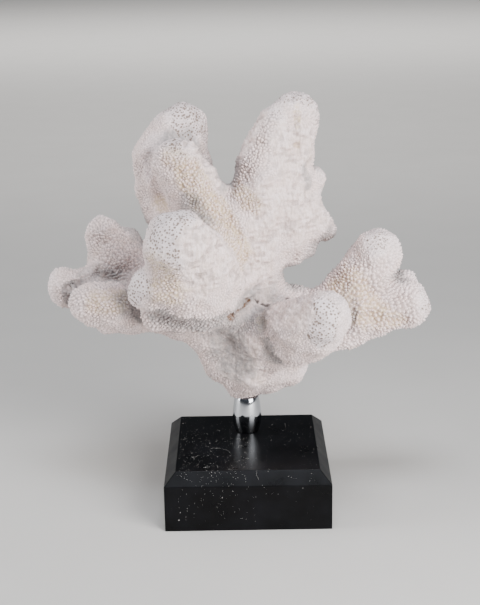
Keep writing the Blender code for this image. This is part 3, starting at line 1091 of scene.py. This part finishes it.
        # Each rim point takes the least number found along its rim, which tells the rims apart
        group = np.arange(len(used))
        for _ in range(64):
            least = np.minimum(group[rim[:, 0]], group[rim[:, 1]])
            merged = group.copy()
            np.minimum.at(merged, rim[:, 0], least)
            np.minimum.at(merged, rim[:, 1], least)
            merged = merged[merged]
            if (merged == group).all():
                break
            group = merged
        on_rim, ends = np.unique(rim, return_inverse=True)
        begin, finish = ends.reshape(-1, 2).T[::-1]
        rims, hub = np.unique(group[on_rim], return_inverse=True)
        rings = [points[used[on_rim]]]
        for _ in range(self.cap_rings):
            rings.append(rings[-1] - unit(self.skin.slope(rings[-1])) * self.cap_step)
        middles = [rings[-1][hub == number].mean(axis=0) for number in range(len(rims))]
        places = np.concatenate([points[used], *rings[1:], middles])
        inner_rings = np.arange(len(on_rim) * self.cap_rings).reshape(self.cap_rings, -1) + len(used)
        numbers = [on_rim, *inner_rings]
        walls = [
            np.stack([outer[begin], outer[finish], inner[finish], inner[begin]], axis=1)
            for outer, inner in zip(numbers[:-1], numbers[1:])
        ]
        last = numbers[-1]
        fans = np.stack([last[begin], last[finish], len(places) - len(rims) + hub[finish]], axis=1)
        mesh = mesh_of(name, places, np.concatenate([local, *walls]), fans)
        pad = np.zeros((len(places) - len(used), 4))
        for title, rows in zip(("relief", "stain"), colours):
            layer = mesh.attributes.new(title, "FLOAT_COLOR", "POINT")
            layer.data.foreach_set("color", np.concatenate([rows[used], pad]).astype(np.float32).ravel())
        inward = np.tile((0.0, 0.0, 1.0), (len(pad), 1))
        kept = np.concatenate([normals[used], inward]).astype(np.float32)
        mesh.normals_split_custom_set_from_vertices(kept)
        return mesh


def node(
    tree: Tree,
    kind: str,
    settings: dict[int | str, object] | None = None,
    links: dict[int | str, Socket] | None = None,
    **attributes: object,
) -> bpy.types.Node:
    """Adds a shader node.

    Args:
        tree: The material's node tree.
        kind: The node's type, less "ShaderNode".
        settings: Values for its inputs, by name or number.
        links: Sockets that feed its inputs, by name or number.
        attributes: Its own properties.

    Returns:
        The node.
    """
    made = tree.nodes.new("ShaderNode" + kind)
    for name, value in attributes.items():
        setattr(made, name, value)
    for place, value in (settings or {}).items():
        made.inputs[place].default_value = value
    for place, socket in (links or {}).items():
        tree.links.new(socket, made.inputs[place])
    return made


def principled(name: str) -> tuple[Material, bpy.types.Node, Socket]:
    """Starts a material.

    Args:
        name: What the material is.

    Returns:
        The material, its shader and the Object coordinates.
    """
    material = bpy.data.materials.new(name)
    material.use_nodes = True
    shader = material.node_tree.nodes["Principled BSDF"]
    coordinates = node(material.node_tree, "TexCoord").outputs["Object"]
    return material, shader, coordinates


def tinted(
    tree: Tree,
    share: Socket,
    under: Socket | str,
    over: Socket | str,
) -> Socket:
    """Lays one colour over another.

    Args:
        tree: The material's node tree.
        share: How much of the upper one shows.
        under: The lower colour, a socket or a hex colour.
        over: The upper colour.

    Returns:
        The mixed colour.
    """
    colours = {6: under, 7: over}
    settings = {place: linear(colour) for place, colour in colours.items() if isinstance(colour, str)}
    links = {place: colour for place, colour in colours.items() if not isinstance(colour, str)}
    mixed = node(tree, "Mix", settings, {0: share, **links}, data_type="RGBA")
    return mixed.outputs[2]


def scaled(tree: Tree, value: Socket, *ranges: float) -> Socket:
    """Maps a value from a low and high to another low and high, held at its ends."""
    return node(tree, "MapRange", dict(enumerate(ranges, 1)), {0: value}).outputs[0]


def product(tree: Tree, first: Socket, second: Socket) -> Socket:
    """Multiplies two values."""
    return node(tree, "Math", {}, {0: first, 1: second}, operation="MULTIPLY").outputs[0]


def mottle(tree: Tree, place: Socket, size_mm: float, detail: float = 2.0) -> Socket:
    """Noise whose blotches are about size_mm wide."""
    settings = {"Scale": 1000.0 / size_mm, "Detail": detail}
    return node(tree, "TexNoise", settings, {"Vector": place}).outputs["Fac"]


# The skeleton's colour also holds painted shade: between the bumps, in the cup pits, in creases and in
# hollows
@dataclass(frozen=True)
class BleachedSkeleton:
    """Aragonite skeleton, grown and then bleached: matt and chalky, warm in the gaps, cool at the tips.

    Attributes:
        chalk: The colour of the bumps.
        flush: Its pinker patches.
        tip: The cooler colour of the porous tips.
        rubbed: Streaks where the skin is rubbed.
        grit: The darker grains of the coarser grit.
        gap: What lies between the bumps, painted shade.
        stained_gap: The same where it is stained, warm stain and painted shade together.
        stained: Stained bumps.
        pit: The inside of a cup, painted shade.
        film_and_shade: Grey dirt, and painted shade in creases, under limbs and in the hollows.
        rust: The brown stain.
        crevice: The bottom of cracks and holes, painted shade.
        grain_mm: Width of the fine grains of the skin.
        grit_mm: Width of its coarser grit.
        streak_mm: Width of the streaks.
        mottle_mm: Width of the faint cloudy patches.
        beige_mm: Width of the stain's patches.
        film_and_shade_mm: Width of the patches of grey dirt and painted shade.
        rust_mm: Width of the brown stain's patches.
    """

    chalk: str = "F7E4E2"
    flush: str = "EBD4CC"
    tip: str = "E7DCDF"
    rubbed: str = "CDB9AE"
    grit: str = "B5A39B"
    gap: str = "6C5D58"
    stained_gap: str = "8C6636"
    stained: str = "D8C3A0"
    pit: str = "66523F"
    film_and_shade: str = "918E8D"
    rust: str = "63401C"
    crevice: str = "3A322E"
    grain_mm: float = 0.45
    grit_mm: float = 0.9
    streak_mm: float = 1.3
    mottle_mm: float = 7.0
    beige_mm: float = 2.5
    film_and_shade_mm: float = 3.0
    rust_mm: float = 1.4

    def material(self) -> Material:
        """Builds the finish.

        Returns:
            The material.
        """
        material, shader, place = principled("bleached coral skeleton")
        tree = material.node_tree
        relief = node(tree, "Attribute", attribute_name="relief")
        stain = node(tree, "Attribute", attribute_name="stain")
        gap, cup, porous = node(tree, "SeparateXYZ", {}, {0: relief.outputs["Vector"]}).outputs
        beige, rust, grey = node(tree, "SeparateXYZ", {}, {0: stain.outputs["Vector"]}).outputs
        crevice, worn = relief.outputs["Alpha"], stain.outputs["Alpha"]
        cloud = mottle(tree, place, self.mottle_mm, 3.0)
        grain = mottle(tree, place, self.grain_mm)
        grit = mottle(tree, place, self.grit_mm, 3.0)
        drawn = node(tree, "Mapping", {"Scale": (1.0, 1.0, 0.25)}, {"Vector": place}).outputs[0]
        streak = mottle(tree, drawn, self.streak_mm, 3.0)
        colour = tinted(tree, scaled(tree, cloud, 0.38, 0.66, 0.0, 0.65), self.chalk, self.flush)
        colour = tinted(tree, scaled(tree, porous, 0.0, 1.0, 0.0, 0.8), colour, self.tip)
        rubbed = product(tree, worn, scaled(tree, streak, 0.42, 0.70, 0.0, 0.85))
        colour = tinted(tree, rubbed, colour, self.rubbed)
        colour = tinted(tree, scaled(tree, grit, 0.48, 0.72, 0.0, 0.38), colour, self.grit)
        # Painted shade between the bumps, warmer where the beige stain lies
        floor = tinted(tree, beige, self.gap, self.stained_gap)
        speckled = product(tree, gap, scaled(tree, grain, 0.3, 0.65, 0.55, 0.95))
        colour = tinted(tree, speckled, colour, floor)
        patches = mottle(tree, place, self.beige_mm)
        patchy = product(tree, beige, scaled(tree, patches, 0.38, 0.66, 0.0, 0.65))
        colour = tinted(tree, patchy, colour, self.stained)
        # Grey dirt, and painted shade in creases, under limbs and in hollows
        dusky = product(tree, grey, scaled(tree, mottle(tree, place, self.film_and_shade_mm), 0.3, 0.7, 0.42, 0.85))
        colour = tinted(tree, dusky, colour, self.film_and_shade)
        # Painted shade inside the cup pits
        colour = tinted(tree, scaled(tree, cup, 0.24, 0.48, 0.0, 0.85), colour, self.pit)
        # Painted shade at the bottom of creases and holes
        colour = tinted(tree, scaled(tree, crevice, 0.35, 0.95, 0.0, 0.85), colour, self.crevice)
        rusty = product(tree, rust, scaled(tree, mottle(tree, place, self.rust_mm), 0.35, 0.6, 0.45, 0.90))
        colour = tinted(tree, rusty, colour, self.rust)
        tree.links.new(colour, shader.inputs["Base Color"])
        tree.links.new(scaled(tree, grain, 0.2, 0.8, 0.74, 0.92), shader.inputs["Roughness"])
        shader.inputs["Specular IOR Level"].default_value = 0.35
        coarse = node(tree, "Bump", {"Strength": 0.6, "Distance": 0.00045}, {"Height": grit}).outputs[0]
        settings = {"Strength": 0.55, "Distance": 0.00012}
        bump = node(tree, "Bump", settings, {"Height": grain, "Normal": coarse})
        tree.links.new(bump.outputs["Normal"], shader.inputs["Normal"])
        return material


@dataclass(frozen=True)
class PolishedChrome:
    """Chromium plate over turned steel, polished to a mirror, with a trace of handling.

    Attributes:
        colour: The plate's colour.
        smeared: Its colour under a smear.
        smear_mm: Width of the smears.
    """

    colour: str = "C9CBCF"
    smeared: str = "BDC0C6"
    smear_mm: float = 5.0

    def material(self) -> Material:
        """Builds the finish.

        Returns:
            The material.
        """
        material, shader, place = principled("polished chrome plate")
        tree = material.node_tree
        smear = mottle(tree, place, self.smear_mm, 4.0)
        tree.links.new(scaled(tree, smear, 0.35, 0.75, 0.03, 0.11), shader.inputs["Roughness"])
        tree.links.new(tinted(tree, smear, self.colour, self.smeared), shader.inputs["Base Color"])
        shader.inputs["Metallic"].default_value = 1.0
        return material


@dataclass(frozen=True)
class SatinBlackPaint:
    """Black lacquer sprayed on wood and rubbed to a satin, with fine dust, rub marks and faint grain.

    Attributes:
        paint: The lacquer's colour.
        bloom: Its paler patches.
        dust: The dust's colour.
        speck_mm: Distance between the finest specks.
        grain_mm: Width of the wood's grain under the paint.
        smear_mm: Width of the rubbed patches.
    """

    paint: str = "070708"
    bloom: str = "141519"
    dust: str = "77746F"
    speck_mm: float = 1.3
    grain_mm: float = 1.6
    smear_mm: float = 14.0

    def material(self) -> Material:
        """Builds the finish.

        Returns:
            The material.
        """
        material, shader, place = principled("satin black lacquer on wood")
        tree = material.node_tree
        along = node(tree, "Mapping", {"Scale": (0.08, 1.0, 1.0)}, {"Vector": place}).outputs[0]
        grain = mottle(tree, along, self.grain_mm, 3.0)
        smear = mottle(tree, place, self.smear_mm, 3.0)
        specks = node(tree, "TexVoronoi", {"Scale": 1000.0 / self.speck_mm}, {"Vector": place})
        dot = scaled(tree, specks.outputs["Distance"], 0.04, 0.13, 1.0, 0.0)
        chosen = node(tree, "SeparateXYZ", {}, {0: specks.outputs["Color"]}).outputs[0]
        dot = product(tree, dot, scaled(tree, chosen, 0.90, 0.96, 0.0, 1.0))
        upward = node(tree, "SeparateXYZ", {}, {0: node(tree, "NewGeometry").outputs["Normal"]}).outputs[2]
        dot = product(tree, dot, scaled(tree, upward, -0.2, 0.6, 0.15, 0.8))
        dot = product(tree, dot, scaled(tree, smear, 0.40, 0.60, 0.2, 1.0))
        paint = tinted(tree, scaled(tree, smear, 0.4, 0.8, 0.0, 0.5), self.paint, self.bloom)
        colour = tinted(tree, dot, paint, self.dust)
        tree.links.new(colour, shader.inputs["Base Color"])
        tree.links.new(scaled(tree, smear, 0.3, 0.7, 0.26, 0.38), shader.inputs["Roughness"])
        shader.inputs["IOR"].default_value = 1.45
        shader.inputs["Specular IOR Level"].default_value = 0.13
        bump = node(tree, "Bump", {"Strength": 0.25, "Distance": 0.00004}, {"Height": grain})
        tree.links.new(bump.outputs["Normal"], shader.inputs["Normal"])
        return material


@dataclass(frozen=True)
class HouseDust:
    """Lint and dust: matt, mottled between a pale and a darker grey.

    Attributes:
        colour: The pale grey.
        shade: The darker one.
        patch_mm: Width of the patches.
    """

    colour: str = "C8C6C3"
    shade: str = "77736C"
    patch_mm: float = 1.5

    def material(self) -> Material:
        """Builds the finish.

        Returns:
            The material.
        """
        material, shader, place = principled("house dust and lint")
        tree = material.node_tree
        tone = scaled(tree, mottle(tree, place, self.patch_mm), 0.3, 0.7, 0.0, 1.0)
        tree.links.new(tinted(tree, tone, self.colour, self.shade), shader.inputs["Base Color"])
        shader.inputs["Roughness"].default_value = 0.95
        return material


@dataclass
class Post:
    """The turned spacer between the plinth and the coral.

    A profile of radius against height is turned round its axis.

    Attributes:
        stations: Height and radius up the post.
        height: Its height.
        sides: Points round it.
        rings: Rings up its barrel.
        rim: Size of the small bevels at its ends.
    """

    stations: tuple[tuple[float, float], ...] = (
        (0.0004, 0.00765),
        (0.0030, 0.00835),
        (0.0065, 0.00905),
        (0.0100, 0.00920),
        (0.0140, 0.00895),
        (0.0185, 0.00835),
        (0.0232, 0.00750),
    )
    height: float = 0.0236
    sides: int = 128
    rings: int = 48
    rim: float = 0.0004

    def profile(self) -> Array:
        """Draws the section.

        Returns:
            Rows of radius and height: the foot and its rim, a barrel that is the polynomial of
            degree 5 nearest to the stations, and the head with its rim.
        """
        heights, radii = np.array(self.stations).T
        fitted = np.polyfit(heights, radii, 5)
        up = np.linspace(self.rim, self.height - self.rim, self.rings)
        barrel = np.stack([np.polyval(fitted, up), up], axis=1)
        turn = np.linspace(0.0, math.pi / 2, 5)[:-1]
        back, over = self.rim * (1 - np.sin(turn)), self.rim * (1 - np.cos(turn))
        foot = np.stack([barrel[0, 0] - back, over], axis=1)
        head = np.stack([barrel[-1, 0] - back, self.height - over], axis=1)
        inner = np.linspace(0.05, 0.95, 6)
        below = np.stack([foot[0, 0] * inner, np.zeros(6)], axis=1)
        above = np.stack([head[0, 0] * inner[::-1], np.full(6, self.height)], axis=1)
        return np.concatenate([below, foot, barrel, head[::-1], above])

    def build(self, material: Material) -> Object:
        """Turns the profile and dresses the post.

        Args:
            material: The post's finish.

        Returns:
            The post.
        """
        radius, height = self.profile().T
        around = np.arange(self.sides) * 2 * math.pi / self.sides
        x = POST_PLACE[0] + radius[:, None] * np.cos(around)
        y = POST_PLACE[1] + radius[:, None] * np.sin(around)
        z = POST_BOTTOM + height[:, None] + np.zeros(self.sides)
        points = np.stack([x, y, z], axis=2).reshape(-1, 3)
        quads = grid_faces(len(radius), self.sides)
        piece = add_piece("post_turned", capped(points, quads, self.sides), material)
        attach(piece, "root")
        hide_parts("post")
        LOG.info("%s: %d faces", piece.name, len(piece.data.polygons))
        return piece


def capped(points: Array, quads: Array, ring: int) -> Mesh:
    """Closes a stack of rings.

    Args:
        points: The rings' points, ring by ring.
        quads: The faces between the rings.
        ring: How many points a ring has.

    Returns:
        A mesh with a flat face in its first ring and its last.
    """
    first = np.arange(ring - 1, -1, -1)[None]
    last = np.arange(len(points) - ring, len(points))[None]
    return mesh_of("rings", points, quads, first, last)


@dataclass
class Plinth:
    """The square block: a profile of inset and height carried round a square with tight corners.

    Attributes:
        side: Its side.
        height: Its height.
        chamfer_in: How far the chamfer cuts in.
        chamfer_down: How far it cuts down.
        edge: Radius of its sanded edges.
        corner_points: Points round each corner.
    """

    side: float = 0.100
    height: float = 0.036
    chamfer_in: float = 0.007
    chamfer_down: float = 0.0073
    edge: float = 0.00045
    corner_points: int = 5

    def profile(self) -> Array:
        """Draws the section.

        Returns:
            Rows of inset and height, with a small curve at each corner. It starts on the
            underside, 4 mm in, and ends on the top, 12 mm in.
        """
        side = [(0.004, 0.0), (0.0, 0.0), (0.0, self.height - self.chamfer_down)]
        corners = np.array([*side, (self.chamfer_in, self.height), (0.012, self.height)])
        rows = [corners[0]]
        for before, here, after in zip(corners[:-2], corners[1:-1], corners[2:]):
            back = here + (before - here) / np.linalg.norm(before - here) * self.edge
            on = here + (after - here) / np.linalg.norm(after - here) * self.edge
            for share in (0.0, 0.25, 0.5, 0.75, 1.0):
                rows.append((1 - share) ** 2 * back + 2 * share * (1 - share) * here + share**2 * on)
        rows.append(corners[-1])
        return np.array(rows)

    def build(self, material: Material) -> Object:
        """Carries the profile round the square and dresses the block.

        Args:
            material: The block's finish.

        Returns:
            The block.
        """
        inset, height = self.profile().T
        turn = np.linspace(0.0, math.pi / 2, self.corner_points)
        angle = (np.arange(4)[:, None] * math.pi / 2 + turn).ravel()
        signs = np.repeat([(1, 1), (-1, 1), (-1, -1), (1, -1)], self.corner_points, axis=0)
        half = self.side / 2 - inset - self.edge
        x = half[:, None] * signs[:, 0] + self.edge * np.cos(angle)
        y = half[:, None] * signs[:, 1] + self.edge * np.sin(angle)
        points = np.stack([x, y, height[:, None] + np.zeros(len(angle))], axis=2).reshape(-1, 3)
        quads = grid_faces(len(inset), len(angle))
        piece = add_piece("plinth_block", capped(points, quads, len(angle)), material)
        flat = piece.modifiers.new("flat faces", "WEIGHTED_NORMAL")
        flat.weight = 100
        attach(piece, "root")
        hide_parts("plinth")
        LOG.info("%s: %d faces", piece.name, len(piece.data.polygons))
        return piece


@dataclass
class Dust:
    """Specks and lint on the plinth. A speck is a flattened octahedron; lint is a thin wavy tube.

    Attributes:
        specks: How many specks.
        speck_radius: Their mean radius.
        fibres: How many bits of lint.
        fibre_radius: Their radius.
        fibre_length: Their mean length.
        rings: Rings along a fibre.
        width: How far to each side of the middle they lie.
        top: How far down the top's share goes, to the foot of the chamfer.
        front: How far down the front the rest goes.
        clear: The circle round the post that stays free.
        seed: Which draw.
    """

    specks: int = 760
    speck_radius: float = 0.000105
    fibres: int = 12
    fibre_radius: float = 0.000038
    fibre_length: float = 0.0055
    rings: int = 16
    width: float = 0.042
    top: float = 0.086 + 0.010
    front: float = 0.026
    clear: float = 0.0095
    seed: int = 5

    def build(self, material: Material) -> Object:
        """Scatters the specks and lint and dresses them as one piece.

        Args:
            material: The dust's finish.

        Returns:
            The piece.
        """
        rng = np.random.default_rng(self.seed)
        points, faces = self.scatter(rng)
        thread_points, thread_faces = self.lint(rng)
        points = np.concatenate([points, thread_points])
        faces = np.concatenate([faces, thread_faces + len(points) - len(thread_points)])
        piece = add_piece("plinth_dust", mesh_of("plinth_dust", points, faces), material)
        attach(piece, "root")
        LOG.info("%s: %d faces", piece.name, len(faces))
        return piece

    def seat(self, across: Array, down: Array) -> tuple[Array, Array]:
        """Places on the plinth's top and front.

        Args:
            across: x of each place.
            down: How far each lies from the top's back edge, over the top, the chamfer and the front.

        Returns:
            The places and the surface's normals there.
        """
        block = Plinth()
        half, flat = block.side / 2, block.side - 2 * block.chamfer_in
        slant = math.hypot(block.chamfer_in, block.chamfer_down)
        on_chamfer = np.clip((down - flat) / slant, 0, 1)
        below = np.maximum(down - flat - slant, 0)
        y = half - block.chamfer_in - np.minimum(down, flat) - on_chamfer * block.chamfer_in
        z = block.height - on_chamfer * block.chamfer_down - below
        normal = np.zeros((len(down), 3))
        normal[:, 2] = down <= flat + slant
        normal[:, 1] = -1.0 * (down > flat)
        return np.stack([across, y, z], axis=1), unit(normal)

    def scatter(self, rng: np.random.Generator) -> tuple[Array, Array]:
        """Scatters the specks: more on the left and front of the top, few on the front face.

        Args:
            rng: Where chance comes from.

        Returns:
            Their points and triangles.
        """
        down = self.top * rng.beta(1.25, 1.1, self.specks)
        on_front = rng.random(self.specks) < 0.10
        down = np.where(on_front, self.top + self.front * rng.random(self.specks), down)
        on_left = rng.random(self.specks) < 0.62
        left = rng.uniform(-self.width, 0.004, self.specks)
        across = np.where(on_left, left, rng.uniform(-self.width, self.width, self.specks))
        places, normals = self.seat(across, down)
        free = np.hypot(places[:, 0] - POST_PLACE[0], places[:, 1] - POST_PLACE[1]) > self.clear
        places, normals = places[free], normals[free]
        count = len(places)
        side = unit(np.cross(normals, rng.normal(size=(count, 3))))
        size = self.speck_radius * rng.lognormal(0.0, 0.35, count)[:, None]
        flat = normals * (size * 0.45)
        long = side * (size * rng.uniform(1.0, 2.2, count)[:, None])
        broad = np.cross(normals, side) * size
        arms = (long, broad, -long, -broad, flat, -flat)
        points = np.stack([places + flat * 0.7 + arm for arm in arms], axis=1).reshape(-1, 3)
        shell = [(0, 1, 4), (1, 2, 4), (2, 3, 4), (3, 0, 4), (1, 0, 5), (2, 1, 5), (3, 2, 5), (0, 3, 5)]
        faces = (np.arange(count)[:, None, None] * 6 + np.array(shell)).reshape(-1, 3)
        return points, faces

    def lint(self, rng: np.random.Generator) -> tuple[Array, Array]:
        """Lays the fibres: paths whose heading wanders, four points round and a point at each end.

        Args:
            rng: Where chance comes from.

        Returns:
            Their points and triangles.
        """
        size = (self.fibres, self.rings)
        one = (self.fibres, 1)
        steps = np.cumsum(rng.normal(0.0, 0.28, size) + rng.normal(0.0, 0.16, one), axis=1)
        heading = rng.uniform(0, 2 * math.pi, one) + steps
        length = self.fibre_length * rng.uniform(0.4, 1.3, one) / self.rings
        across = np.cumsum(np.cos(heading) * length, axis=1) + rng.uniform(-0.040, 0.010, one)
        down = np.cumsum(np.sin(heading) * length, axis=1) + rng.uniform(0.035, 0.088, one)
        across = np.clip(across.ravel(), -self.width, self.width)
        places, normals = self.seat(across, np.clip(down.ravel(), 0.002, 0.094))
        path = (places + normals * self.fibre_radius * 1.2).reshape(*size, 3)
        ahead = np.gradient(path, axis=1)
        ahead /= np.linalg.norm(ahead, axis=2, keepdims=True)
        up = normals.reshape(path.shape)
        aside = np.cross(ahead, up)
        thick = self.fibre_radius * np.sin(np.linspace(0.15, math.pi - 0.15, self.rings)) ** 0.3
        rows = np.stack([path + arm * thick[:, None] for arm in (aside, up, -aside, -up)], axis=2)
        ends = [path[:, :1] - ahead[:, :1] * 0.0001, path[:, -1:] + ahead[:, -1:] * 0.0001]
        points = np.concatenate([rows.reshape(self.fibres, -1, 3), *ends], axis=1)
        quads = grid_faces(self.rings, 4)
        count = 4 * self.rings
        here = np.arange(4)
        beside = (here + 1) % 4
        foot = np.stack([beside, here, np.full(4, count)], axis=1)
        head = np.stack([count - 4 + here, count - 4 + beside, np.full(4, count + 1)], axis=1)
        faces = np.concatenate([quads[:, [0, 1, 2]], quads[:, [0, 2, 3]], foot, head])
        faces = (np.arange(self.fibres)[:, None, None] * (count + 2) + faces).reshape(-1, 3)
        return points.reshape(-1, 3), faces


@dataclass(frozen=True)
class Softbox:
    """A large soft lamp.

    Attributes:
        name: What it is called.
        turn: Degrees to the right of the camera.
        lift: Height of its middle above the floor.
        far: Its distance from the upright through the origin.
        size: Width and height.
        watts: Power.
        tone: The lamp's colour.
    """

    name: str
    turn: float
    lift: float
    far: float
    size: tuple[float, float]
    watts: float
    tone: Vec = (1.0, 1.0, 1.0)

    def build(self, target: Vec) -> Object:
        """Hangs the lamp.

        Args:
            target: The place that it faces.

        Returns:
            The lamp.
        """
        lamp = bpy.data.lights.new(self.name, "AREA")
        lamp.shape = "RECTANGLE"
        lamp.size, lamp.size_y = self.size
        lamp.energy = self.watts
        lamp.color = self.tone
        turn = math.radians(self.turn)
        hung = bpy.data.objects.new(self.name, lamp)
        hung.location = (math.sin(turn) * self.far, -math.cos(turn) * self.far, self.lift)
        hung.rotation_euler = (hung.location - Vector(target)).to_track_quat("Z", "Y").to_euler()
        bpy.context.scene.collection.objects.link(hung)
        return hung


@dataclass
class Studio:
    """A pale floor, soft lamps and the camera at the photograph's angle.

    Attributes:
        pitch: How far the camera looks down, in degrees.
        roll: How far it leans, in degrees.
        far: Its distance from the origin along its view.
        pan: How far right and up it is shifted from that line.
        focal_pixels: Its focal length in pixels of an image 480 by 605.
        image: That image's width and height.
        sensor: The longer side of its sensor, in millimetres.
        floor_side: How wide the floor is.
        floor_under: How far it lies under the plinth.
        floor_tones: Its two colours.
        sky: How bright the room is all round.
        sky_colour: The room's light, in linear red, green and blue.
        target: The place that the softboxes face.
    """

    pitch: float = 17.14
    roll: float = -0.91
    far: float = 0.8069
    pan: tuple[float, float] = (0.0050, -0.1215)
    focal_pixels: float = 1269.4
    image: tuple[int, int] = (480, 605)
    sensor: float = 36.0
    floor_side: float = 24.0
    floor_under: float = 0.0001
    floor_tones: tuple[str, str] = ("C6C3BF", "CCC9C5")
    sky: float = 0.10
    sky_colour: Vec = (0.80, 0.88, 1.0)
    target: Vec = (0.0, 0.0, 0.14)

    def camera(self) -> Object:
        """Sets up the camera.

        Returns:
            The camera.
        """
        pitch, roll = math.radians(self.pitch), math.radians(self.roll)
        ahead = Vector((0.0, math.cos(pitch), -math.sin(pitch)))
        level = Vector((1.0, 0.0, 0.0))
        upright = Vector((0.0, math.sin(pitch), math.cos(pitch)))
        right = level * math.cos(roll) + upright * math.sin(roll)
        up = upright * math.cos(roll) - level * math.sin(roll)
        place = -ahead * self.far - right * self.pan[0] - up * self.pan[1]
        data = bpy.data.cameras.new("camera")
        data.sensor_width = self.sensor
        data.lens = self.focal_pixels * self.sensor / max(self.image)
        data.clip_end = 60.0
        shot = bpy.data.objects.new("camera", data)
        shot.matrix_world = Matrix.Translation(place) @ Matrix((right, up, -ahead)).transposed().to_4x4()
        bpy.context.scene.collection.objects.link(shot)
        bpy.context.scene.camera = shot
        return shot

    def floor(self) -> Object:
        """Lays the floor.

        Returns:
            The floor.
        """
        half = self.floor_side / 2
        corners = ((-half, -half), (half, -half), (half, half), (-half, half))
        points = np.array([(x, y, -self.floor_under) for x, y in corners])
        material, shader, place = principled("pale floor")
        tree = material.node_tree
        colour = tinted(tree, mottle(tree, place, 60.0), *self.floor_tones)
        tree.links.new(colour, shader.inputs["Base Color"])
        shader.inputs["Roughness"].default_value = 0.7
        floor = add_piece("floor", mesh_of("floor", points, np.array([(0, 1, 2, 3)])), material)
        return floor

    def build(self) -> None:
        """Sets up everything round the object."""
        self.camera()
        self.floor()
        cool = (0.86, 0.92, 1.0)
        for box, target in (
            (Softbox("key softbox", 40.0, 0.33, 0.62, (0.44, 0.62), 10.6), self.target),
            (Softbox("fill softbox", -84.0, 0.31, 0.62, (0.34, 0.60), 4.6), self.target),
            (Softbox("overhead softbox", 0.0, 1.15, 0.32, (0.45, 0.30), 7.0, cool), self.target),
            (Softbox("near background lamp", 180.0, 1.0, 1.1, (2.0, 0.8), 20.0), (0.0, 1.9, 0.0)),
            (Softbox("far background lamp", 180.0, 1.7, 2.7, (3.6, 1.2), 105.0), (0.0, 4.6, 0.0)),
        ):
            box.build(target)
        world = bpy.data.worlds.new("studio")
        world.use_nodes = True
        background = world.node_tree.nodes["Background"]
        background.inputs["Color"].default_value = (*self.sky_colour, 1.0)
        background.inputs["Strength"].default_value = self.sky
        bpy.context.scene.world = world


def main() -> None:
    """Builds each sub-assembly in order and reports its pieces."""
    logging.basicConfig(level=logging.INFO, format="%(name)s: %(message)s")
    skeleton = BleachedSkeleton().material()
    Coral().build(skeleton)
    Post().build(PolishedChrome().material())
    Plinth().build(SatinBlackPaint().material())
    Dust().build(HouseDust().material())
    Studio().build()


if __name__ == "__main__":
    main()
